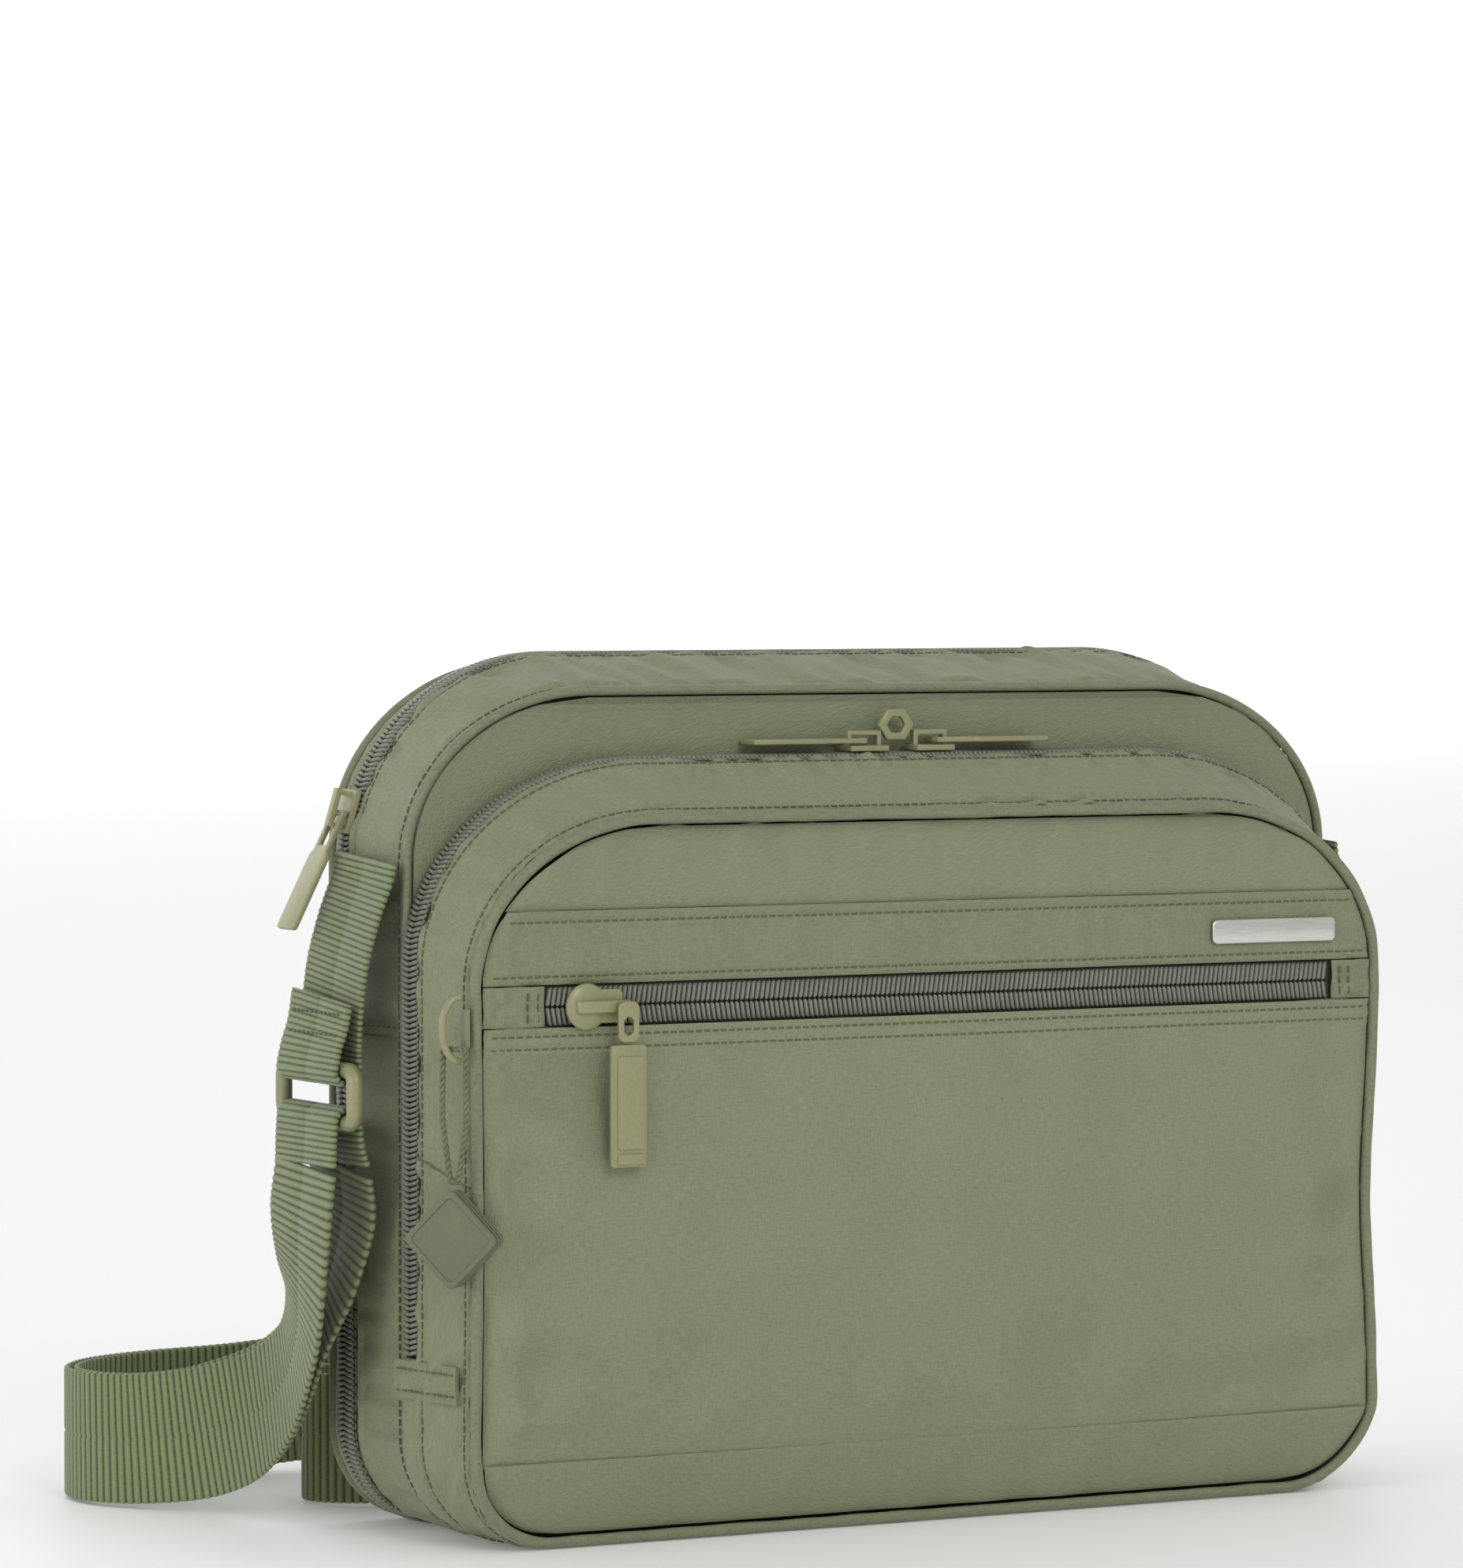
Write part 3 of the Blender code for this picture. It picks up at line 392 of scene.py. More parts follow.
def slacken(data):
    """Lets the front edge sag: its sides pull in at mid height, and its foot curls back under."""
    co = np.zeros(len(data.vertices) * 3)
    data.vertices.foreach_get("co", co)
    co = co.reshape(-1, 3)
    near = clamp(1 - (co[:, 1] - FRONT_SEAM_Y) / FRONT_GUSSET[1])
    pinch = groove(co[:, 2], 0.07, 0.027) * clamp((co[:, 0] - 0.045) / 0.07) ** 1.5
    co[:, 0] -= PINCH * pinch * near
    left = groove(co[:, 2], 0.075, 0.04) * clamp((-co[:, 0] - 0.06) / 0.055) ** 1.5
    co[:, 0] += 0.3 * PINCH * left * near
    co[:, 1] += FOOT_CURL * clamp(1 - co[:, 2] / BASE_SEAM) * near
    data.vertices.foreach_set("co", co.ravel())


def mesh_object(name, verts, faces, materials, indices=None, uv=None, sharp=40.0):
    data = bpy.data.meshes.new(name)
    data.from_pydata([tuple(v) for v in np.asarray(verts, float)], [], [tuple(int(i) for i in f) for f in faces])
    for material in materials:
        data.materials.append(material)
    if indices is not None:
        data.polygons.foreach_set("material_index", np.asarray(indices, np.int32))
    if uv is not None:
        layer = data.uv_layers.new(name="UVMap")
        corners = np.zeros(len(data.loops), np.int32)
        data.loops.foreach_get("vertex_index", corners)
        layer.data.foreach_set("uv", np.asarray(uv, np.float32)[corners].ravel())
    data.validate()
    if name in SLACK_PIECES:
        slacken(data)
    data.shade_smooth()
    data.set_sharp_from_angle(angle=math.radians(sharp))
    return linked(name, data)


def solid(*details, **more):
    """A mesh object whose faces all look outward."""
    obj = mesh_object(*details, **more)
    mesh = bmesh.new()
    mesh.from_mesh(obj.data)
    bmesh.ops.recalc_face_normals(mesh, faces=mesh.faces)
    mesh.to_mesh(obj.data)
    mesh.free()
    return obj


def dress(obj, body, nodes=(), bend=None):
    """Parents the piece to the body it moves with, or, with a bend given, leaves it unparented in place; hides the
    CAD nodes it stands for.
    """
    if bend:
        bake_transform(obj)
    else:
        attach(obj, body)
    if nodes:
        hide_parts(*nodes)
    return obj


def grid_normals(points, closed, away):
    if closed:
        wide = np.roll(points, -1, 1) - np.roll(points, 1, 1)
    else:
        wide = np.gradient(points, axis=1)
    tall = np.gradient(points, axis=0)
    normals = unit(np.cross(wide, tall))
    if away is None:
        outward = points - np.array((0.0, 0.0, 0.09))
        outward[..., 1] = 0.0
    else:
        outward = np.broadcast_to(np.array(away, float), points.shape)
    sign = 1.0 if np.sum(normals * outward) > 0 else -1.0
    return normals * sign, sign


def shell(name, points, thickness, look, closed=False, away=None, relief=None):
    """A closed skin: points is a grid of rows, pushed out by relief and backed at thickness."""
    normals, sign = grid_normals(points, closed, away)
    rows, columns = points.shape[:2]
    u = np.pad(np.cumsum(np.linalg.norm(np.diff(points, axis=1), axis=2), axis=1), ((0, 0), (1, 0)))
    v = np.pad(np.cumsum(np.linalg.norm(np.diff(points, axis=0), axis=2), axis=0), ((1, 0), (0, 0)))
    outer = points.copy() if relief is None else points + normals * relief(u, v)[..., None]
    outer[..., 2] = np.maximum(outer[..., 2], FLOOR_CLEAR)
    inner = points - normals * thickness
    verts = np.concatenate([outer.reshape(-1, 3), inner.reshape(-1, 3)])
    uv = np.concatenate([np.dstack([u, v]).reshape(-1, 2)] * 2)
    back = rows * columns
    index = np.arange(back).reshape(rows, columns)
    left, right = (index, np.roll(index, -1, 1)) if closed else (index[:, :-1], index[:, 1:])
    quads = np.stack([left[:-1], right[:-1], right[1:], left[1:]], axis=-1).reshape(-1, 4)
    # The rims are wound so that every edge is shared by faces that agree.
    rims = [(left[0], right[0], False), (left[-1], right[-1], True)]
    if not closed:
        rims += [(index[:-1, 0], index[1:, 0], True), (index[:-1, -1], index[1:, -1], False)]
    faces = [quads, quads[:, ::-1] + back]
    for a, b, turned_over in rims:
        rim = np.stack([a, b, b + back, a + back], axis=-1)
        faces.append(rim[:, ::-1] if turned_over else rim)
    faces = np.concatenate(faces)
    return solid(name, verts, faces if sign > 0 else faces[:, ::-1], [look], uv=uv, sharp=50.0)


def skin(name, grid, body, nodes, look=FABRIC, slot="fabric", bend=None, wall=WALL, **details):
    """A fabric skin over a grid, riding on a body, or, with a bend given, left unparented in place."""
    return dress(shell(name, grid, wall, look, **details), body, nodes, bend)


def strip(front, back, depths, outline, count, rows, seams=()):
    """Grid of points lofted between two outlines, finer along the stitched seams."""
    shares = list(np.linspace(0, 1, rows))
    for seam in seams:
        shares += [seam + step for step in (-0.07, -0.045, -0.02, 0.0, 0.02, 0.045, 0.07)]
    return np.stack([rows_of(outline(between(front, back, share), count), depths[0] + (depths[1] - depths[0]) * share)
                     for share in sorted({round(min(1.0, max(0.0, s)), 4) for s in shares})])


def face_grid(s, low, high, columns, rows, depth_of, sides=None):
    """Grid over a panel between two heights; depth_of(u, z) gives its depth."""
    z = np.linspace(low, high, rows)[:, None] * np.ones((1, columns))
    u = np.ones((rows, 1)) * np.linspace(-1, 1, columns)[None, :]
    if sides:
        x = sides[0] + (sides[1] - sides[0]) * (u + 1) / 2
    else:
        x = half_width(s, z) * u
    return np.stack([x, FRONT_SEAM_Y + depth_of(u, z, x), z], axis=-1)


def edge_roll(x, z, s, low, high, width=0.0035, rise=0.001):
    """How far a panel turns back close to its border."""
    near = np.minimum(half_width(s, z) - np.abs(x), np.minimum(z - low, high - z))
    inside = clamp(near / width)
    return rise * (1 - inside) ** 2


def capsules(a, b, up, wide, high, sides=6):
    """Many small rounded bars from a to b; returns vertices and faces."""
    axis = unit(b - a)
    side = unit(np.cross(axis, up))
    top = np.cross(side, axis)
    angle = np.linspace(0, 2 * np.pi, sides, endpoint=False)
    rings = ((0.0, 0.45), (0.1, 1.0), (0.9, 1.0), (1.0, 0.45))
    verts = []
    for share, size in rings:
        centre = a + (b - a) * share
        verts.append(centre[:, None, :] + side[:, None, :] * (np.cos(angle) * wide * size)[None, :, None]
                     + top[:, None, :] * (np.sin(angle) * high * size)[None, :, None])
    base = np.arange(len(a))[:, None] * len(rings) * sides
    faces = [tuple(f) for face in barrel(len(rings), sides) for f in base + np.array([face])]
    return np.stack(verts, axis=1).reshape(-1, 3), faces


def sew(name, groups, body, bend=None, wide=0.00026, high=0.00022):
    """One piece from several rows of stitches, each (starts, ends, up directions)."""
    a, b, up = (np.concatenate([g[k] for g in groups]) for k in range(3))
    verts, faces = capsules(a, b, up, wide, high)
    dress(solid(name, verts, faces, [THREAD], sharp=80.0), body, (), bend)


def stitch_row(points, outward, proud=0.00012, share=0.74):
    """Starts, ends and up directions of the stitches along a line of points."""
    travelled = along(points)
    count = max(2, int(travelled[-1] / STITCH_PITCH))
    starts = (np.arange(count) + 0.5 * (1 - share)) * travelled[-1] / count
    ends = starts + share * travelled[-1] / count
    outward = np.broadcast_to(np.asarray(outward, float), points.shape)
    up = unit(sampled((starts + ends) / 2, travelled, outward))
    return sampled(starts, travelled, points) + up * proud, sampled(ends, travelled, points) + up * proud, up


def outline_normals(outline):
    """Outward directions of an XZ outline, as 3-D vectors."""
    tangent = np.gradient(outline, axis=0)
    normal = np.column_stack([tangent[:, 1], np.zeros(len(outline)), -tangent[:, 0]])
    out = np.column_stack([outline[:, 0], np.zeros(len(outline)), outline[:, 1] - 0.09])
    sign = np.where(np.sum(normal * out, axis=1, keepdims=True) >= 0, 1.0, -1.0)
    return unit(normal * sign)


def frames(points, closed, start=None):
    """Side and up directions carried along a line without twist."""
    if closed:
        tangent = unit(np.roll(points, -1, 0) - np.roll(points, 1, 0))
    else:
        tangent = unit(np.gradient(points, axis=0))
    first = np.array(start if start is not None else (0.0, 1.0, 0.0), float)
    side = np.zeros_like(points)
    side[0] = unit(first - tangent[0] * np.dot(first, tangent[0]))
    for i in range(1, len(points)):
        carried = side[i - 1] - tangent[i] * np.dot(side[i - 1], tangent[i])
        side[i] = unit(carried)
    return side, np.cross(tangent, side)


def tube(name, points, radius, material, closed=False, sides=12, start=None):
    """A round bar along a line of points; radius may vary along it."""
    points = np.asarray(points, float)
    side, top = frames(points, closed, start)
    radius = np.broadcast_to(radius, (len(points),))[:, None, None]
    angle = np.linspace(0, 2 * np.pi, sides, endpoint=False)
    rings = points[:, None, :] + radius * (side[:, None, :] * np.cos(angle)[None, :, None]
                                           + top[:, None, :] * np.sin(angle)[None, :, None])
    return solid(name, rings.reshape(-1, 3), barrel(len(points), sides, closed), [material], sharp=60.0)


def evaluated_mesh(obj):
    bpy.context.view_layer.update()
    return bpy.data.meshes.new_from_object(obj.evaluated_get(bpy.context.evaluated_depsgraph_get()))


def fine_copy(name, source, material, body, bevel, segments=2):
    """A piece cut from a CAD node's own shape, with its edges rounded."""
    mesh = bmesh.new()
    mesh.from_mesh(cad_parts[source].data)
    bmesh.ops.remove_doubles(mesh, verts=mesh.verts, dist=1e-6)
    bmesh.ops.dissolve_limit(mesh, angle_limit=math.radians(2), verts=mesh.verts, edges=mesh.edges)
    data = bpy.data.meshes.new(name)
    mesh.to_mesh(data)
    mesh.free()
    data.materials.clear()
    data.materials.append(material)
    obj = linked(name, data)
    modifier = obj.modifiers.new("edge", "BEVEL")
    modifier.width = bevel
    modifier.segments = segments
    modifier.limit_method = "ANGLE"
    modifier.angle_limit = math.radians(28)
    modifier.use_clamp_overlap = True
    final = evaluated_mesh(obj)
    obj.modifiers.clear()
    obj.data = final
    final.shade_smooth()
    final.set_sharp_from_angle(angle=math.radians(38))
    return dress(obj, body, [source])


def plate(name, outline, low, high, place, look, bevel=0.0002):
    """Flat outline between two heights of its own Z, with rounded edges."""
    data = bpy.data.curves.new(name, "CURVE")
    data.dimensions = "2D"
    area = np.sum(outline[:, 0] * np.roll(outline[:, 1], -1) - np.roll(outline[:, 0], -1) * outline[:, 1])
    points = outline if area > 0 else outline[::-1]
    spline = data.splines.new("POLY")
    spline.points.add(len(points) - 1)
    for corner, (x, y) in zip(spline.points, points):
        corner.co = (x, y, 0.0, 1.0)
    spline.use_cyclic_u = True
    data.fill_mode = "BOTH"
    data.extrude = (high - low) / 2 - bevel
    data.bevel_depth = bevel
    data.bevel_resolution = 2
    data.offset = -bevel
    source = linked(name + "_outline", data)
    final = evaluated_mesh(source)
    bpy.data.objects.remove(source, do_unlink=True)
    mesh = bmesh.new()
    mesh.from_mesh(final)
    bmesh.ops.remove_doubles(mesh, verts=mesh.verts, dist=1e-6)
    bmesh.ops.recalc_face_normals(mesh, faces=mesh.faces)
    mesh.transform(place @ Matrix.Translation((0.0, 0.0, (low + high) / 2)))
    mesh.to_mesh(final)
    mesh.free()
    final.materials.clear()
    final.materials.append(look)
    final.shade_smooth()
    final.set_sharp_from_angle(angle=math.radians(40))
    return linked(name, final)


def stacked(name, rings, place, look, sharp):
    """A capped piece through rings of points, set at place."""
    verts = [place @ Vector(v) for v in np.vstack(rings)]
    return solid(name, verts, barrel(len(rings), len(rings[0])), [look], sharp=sharp)


def turned(name, levels, place, look, sides=40):
    """A round piece turned about its own Z, from (height, radius) levels."""
    angle = np.linspace(0, 2 * np.pi, sides, endpoint=False)
    rings = [np.column_stack([r * np.cos(angle), r * np.sin(angle), np.full(sides, z)]) for z, r in levels]
    return stacked(name, rings, place, look, 35.0)


# ---------------------------------------------------------------- camera, floor and light


def studio():
    camera_data = bpy.data.cameras.new("camera")
    camera_data.lens = 162.98
    camera_data.sensor_width = 36.0
    camera_data.clip_start, camera_data.clip_end = 0.05, 20.0
    camera = linked("camera", camera_data)
    camera.location = (-0.81865, -1.40918, 0.21986)
    camera.rotation_euler = (math.radians(88.129), 0.0, math.radians(-29.0))
    bpy.context.scene.camera = camera

    bpy.context.scene.view_settings.view_transform = "Standard"
    floor_material = plain("studio_floor", (0.9, 0.9, 0.9), 0.6, scale=3.0, contrast=0.01, depth=0.0)
    floor = mesh_object("studio_floor", [(-6, -6, -0.0002), (6, -6, -0.0002), (6, 8, -0.0002), (-6, 8, -0.0002)],
                        [(0, 1, 2, 3)], [floor_material])
    backdrop_material = plain("studio_backdrop", (1.0, 1.0, 1.0), 0.9, scale=1.0, contrast=0.0, depth=0.0)
    backdrop = mesh_object("studio_backdrop", [(-6, 7.9, -0.1), (6, 7.9, -0.1), (6, 7.9, 6), (-6, 7.9, 6)],
                           [(0, 1, 2, 3)], [backdrop_material])
    for material, strength in ((floor_material, 0.1), (backdrop_material, 1.0)):
        shader = material.node_tree.nodes["Principled BSDF"]
        shader.inputs["Emission Color"].default_value = (1.0, 1.0, 1.0, 1.0)
        shader.inputs["Emission Strength"].default_value = strength
    world = bpy.data.worlds.new("studio")
    world.use_nodes = True
    world.node_tree.nodes["Background"].inputs["Color"].default_value = (1.0, 1.0, 1.0, 1.0)
    world.node_tree.nodes["Background"].inputs["Strength"].default_value = 0.65
    bpy.context.scene.world = world
    for name, place, size, power in (
        ("key", (-0.2, -1.7, 1.05), 0.7, 7.8),
        ("fill", (-1.8, -0.3, 0.5), 0.7, 6.0),
        ("rim", (1.6, 0.6, 1.2), 0.8, 2.0),
    ):
        lamp = bpy.data.lights.new(name, "AREA")
        lamp.size = size
        lamp.energy = power
        holder = linked(name, lamp)
        holder.location = place
        aim = Vector((0.0, 0.0, 0.08)) - Vector(place)
        holder.rotation_euler = aim.to_track_quat("-Z", "Y").to_euler()


# ---------------------------------------------------------------- strap

# The strap's centre line, left ring to right ring: x, depth and z, then the direction of its width where it
# doesn't stand on edge.
STRAP_ROUTE = [
    (-0.1374, 0.045, 0.0834, 0.0, 1.0, 0.0), (-0.1382, 0.046, 0.072, 0.0, 1.0, 0.0),
    (-0.137, 0.049, 0.058, 0.1, 1.0, 0.15), (-0.1338, 0.056, 0.045, 0.2, 0.85, 0.45),
    (-0.1318, 0.067, 0.033, 0.2, 0.65, 0.75), (-0.133, 0.081, 0.024, 0.1, 0.4, 0.92),
    (-0.1392, 0.095, 0.0185, 0.0, 0.15, 1.0), (-0.1485, 0.108, 0.0162), (-0.156, 0.122, 0.0156),
    (-0.155, 0.137, 0.0155), (-0.144, 0.15, 0.0155), (-0.126, 0.1575, 0.0155), (-0.104, 0.1575, 0.016),
    (-0.08, 0.1537, 0.018), (-0.061, 0.1515, 0.0186), (-0.0562, 0.152, 0.0186), (-0.051, 0.1552, 0.0186),
    (-0.045, 0.1582, 0.0186), (-0.039, 0.1552, 0.0186), (-0.0338, 0.152, 0.0186), (-0.029, 0.1515, 0.0186),
    (-0.008, 0.1535, 0.0175), (0.03, 0.1545, 0.0155), (0.085, 0.1535, 0.0155), (0.106, 0.1465, 0.0155),
    (0.113, 0.135, 0.0155), (0.106, 0.1235, 0.0155), (0.086, 0.1175, 0.0155), (0.03, 0.1165, 0.0155),
    (-0.04, 0.1165, 0.0155), (-0.086, 0.1155, 0.0155), (-0.105, 0.1085, 0.0155), (-0.111, 0.099, 0.0155),
    (-0.104, 0.0895, 0.0155), (-0.085, 0.0845, 0.0155), (-0.03, 0.0835, 0.0155), (0.03, 0.0835, 0.0155),
    (0.086, 0.0825, 0.0158), (0.111, 0.0785, 0.0175, 0.0, 0.12, 1.0), (0.126, 0.0705, 0.023, -0.1, 0.4, 0.92),
    (0.135, 0.0605, 0.034, -0.2, 0.65, 0.75), (0.1385, 0.052, 0.049, -0.1, 0.9, 0.35),
    (0.1378, 0.0465, 0.061, 0.0, 1.0, 0.1), (0.1373, 0.045, 0.0696, 0.0, 1.0, 0.0),
]

# The return layer runs from the left ring back to the adjuster, inside the strap.
RETURN_ROUTE = [
    (-0.1288, 0.045, 0.0834, 0.0, 1.0, 0.0), (-0.1272, 0.0468, 0.072, 0.0, 1.0, 0.0),
    (-0.1282, 0.0505, 0.059, 0.1, 1.0, 0.15), (-0.13, 0.0575, 0.047, 0.2, 0.85, 0.45),
    (-0.1292, 0.0685, 0.035, 0.2, 0.65, 0.75), (-0.1307, 0.082, 0.0256, 0.1, 0.4, 0.92),
    (-0.1374, 0.0966, 0.019, 0.0, 0.15, 1.0), (-0.1467, 0.1094, 0.0162), (-0.1538, 0.1224, 0.0156),
    (-0.153, 0.136, 0.0155), (-0.1428, 0.1481, 0.0155), (-0.1255, 0.1553, 0.0155), (-0.104, 0.1553, 0.016),
    (-0.08, 0.1515, 0.018), (-0.061, 0.1493, 0.0186), (-0.056, 0.149, 0.0186),
]


def smooth_path(points, steps):
    """Points on a smooth curve through the given ones (Catmull-Rom)."""
    points = np.asarray(points, float)
    knots = np.vstack([2 * points[0] - points[1], points, 2 * points[-1] - points[-2]])
    path = []
    for a, b, c, d in zip(knots, knots[1:], knots[2:], knots[3:]):
        for i in range(steps):
            t = i / steps
            path.append(0.5 * (2 * b + (c - a) * t + (2 * a - 5 * b + 4 * c - d) * t * t
                               + (3 * b - a - 3 * c + d) * t ** 3))
    path.append(points[-1])
    return np.array(path)


def ribbed(name, centres, across, look=WEB, pitch=RIB):
    """Ribbed webbing along centres; across gives the direction of its width."""
    travelled = along(centres)
    count = max(8, int(travelled[-1] / (pitch / 4)))
    places = np.linspace(0, travelled[-1], count)
    middle, wide = (sampled(places, travelled, values) for values in (centres, across))
    tangent = unit(np.gradient(middle, axis=0))
    wide = unit(wide - tangent * np.sum(wide * tangent, axis=1, keepdims=True))
    face = np.cross(tangent, wide)
    rib = np.abs(np.sin(np.pi * places / pitch))
    u = np.array([-1.0, -0.985, -0.93, -0.5, -0.05, 0.0, 0.05, 0.5, 0.93, 0.985, 1.0])
    level = np.array([0.35, 0.85, 1.0, 1.0, 1.0, 0.62, 1.0, 1.0, 1.0, 0.85, 0.35])
    height = WEB_THICK / 2 * (0.62 + 0.38 * rib)[:, None] * level[None, :]
    half = (WEBBING / 2 * (0.985 + 0.015 * rib))[:, None] * u[None, :]
    top = middle[:, None] + wide[:, None] * half[..., None] + face[:, None] * height[..., None]
    under = middle[:, None] + wide[:, None] * half[..., None] - face[:, None] * height[..., None]
    ring = np.concatenate([top, under[:, ::-1]], axis=1)
    sides = ring.shape[1]
    across_place = np.concatenate([half, half[:, ::-1]], axis=1)
    uv = np.dstack([across_place, np.repeat(places[:, None], sides, axis=1)]).reshape(-1, 2)
    return solid(name, ring.reshape(-1, 3), barrel(count, sides), [look], uv=uv, sharp=70.0), middle


def straps():
    adjuster = fine_copy("strap_adjuster", "adjuster", KHAKI, "bag", 0.0004)
    left = ("left_ring", ((-0.128, 0.0154, 0.04), (-0.136, 0.0154, 0.083)))
    right = ("right_ring", ((0.133, 0.0605, 0.028), (0.1373, 0.045, 0.066)))
    # The long run is cut behind the bag, into one part for each ring.
    for name, route, nodes, extra, (ring, bend) in (
        ("strap_webbing", STRAP_ROUTE[:36], ["strap"], [adjuster], left),
        ("strap_end_webbing", STRAP_ROUTE[35:], ["strap"], [], right),
        ("strap_return_webbing", RETURN_ROUTE, ["strap_return"], [], left),
    ):
        centres = smooth_path([at(*row[:3]) for row in route], 12)
        across = smooth_path([row[3:] or (0.0, 0.0, 1.0) for row in route], 12)
        obj, line = ribbed(name, centres, across)
        dress(obj, ("bag", ring), nodes, bend)


# ---------------------------------------------------------------- zips


def zip_half(name, path, outward, across, body, nodes, far=0.0034, tape=(0.0002, 0.0039)):
    """Half of a coil zip: slanted bars over a dark tape, to one side of the path."""
    near, pitch, slant = 0.00015, 0.00125, 0.0008
    across = np.broadcast_to(np.asarray(across, float), path.shape)
    travelled = along(path)
    starts = np.arange(0.0004, travelled[-1] - slant - 0.0004, pitch)
    up = unit(sampled(starts, travelled, outward))
    side = sampled(starts, travelled, across)
    begin, end, turn = (sampled(starts + step, travelled, path) for step in (0.0, slant, slant + pitch * 0.55))
    bars, bar_faces = capsules(begin + side * near - up * 0.00005, end + side * far - up * 0.00035, up,
                               0.0005, 0.00075)
    # A second thread lies in the gap at the outer end, where the coil turns back.
    turns, turn_faces = capsules(end + side * (far - 0.0002) - up * 0.0004,
                                 turn + side * (far - 0.0001) - up * 0.0007, up, 0.00034, 0.00036)
    corners = ((tape[0], 0.0008), (tape[1], 0.0008), (tape[1], 0.0015), (tape[0], 0.0015))
    ring = np.stack([path + across * share - outward * drop for share, drop in corners], axis=1)
    tape_faces = barrel(len(path), 4)
    verts = np.concatenate([ring.reshape(-1, 3), bars, turns])
    offset, second = len(path) * 4, len(path) * 4 + len(bars)
    faces = (tape_faces + [tuple(i + offset for i in f) for f in bar_faces]
             + [tuple(i + second for i in f) for f in turn_faces])
    indices = [0] * len(tape_faces) + [1] * (len(bar_faces) + len(turn_faces))
    uv = np.column_stack([verts[:, 0] + verts[:, 1], verts[:, 2]])
    dress(solid(name, verts, faces, [TAPE, TEETH], indices, uv, sharp=70.0), body, nodes)


def rim_zip(name, s, depth, side, outline, body, nodes):
    line = outline(shrunk(s, 0.0002), 420)
    path = rows_of(line, depth)
    zip_half(name, path, outline_normals(line), (0.0, side, 0.0), body, nodes)


# ---------------------------------------------------------------- front compartment


def puckers(seed, seams, strength=0.00048):
    """Relief of a narrow strip: short creases across it near its seams, held down along each stitch row.

    seams are shares of the strip's width.
    """
    def relief(u, v):
        height = strength * 0.8 * ripple(u, v * 0.25, 0.0085, seed)
        height = height + strength * 1.1 * ripple(u, v, 0.045, seed + 1)
        width = v[-1:]
        for seam in seams:
            height = height + strength * 1.2 * groove(v, seam * width, 0.0035) * ripple(u, v * 0.1, 0.006, seed + 2)
        for seam in seams:
            # The thread holds the cloth down along its row.
            height = height * (1 - 0.97 * groove(v, seam * width, 0.0011)) - 0.00015 * groove(v, seam * width, 0.0007)
        return height - 0.0005 * groove(v, 0, 0.0008) - 0.0004 * groove(v, width, 0.0008)
    return relief


def seam_rows(front, back, depths, shares, proud):
    """Stitches all round a strip, at shares of its width."""
    groups = []
    for share in shares:
        line = whole(between(front, back, share), 900)
        points, out = rows_of(line, depths[0] + (depths[1] - depths[0]) * share), outline_normals(line)
        groups.append(stitch_row(np.vstack([points, points[:1]]), np.vstack([out, out[:1]]), proud))
    return groups


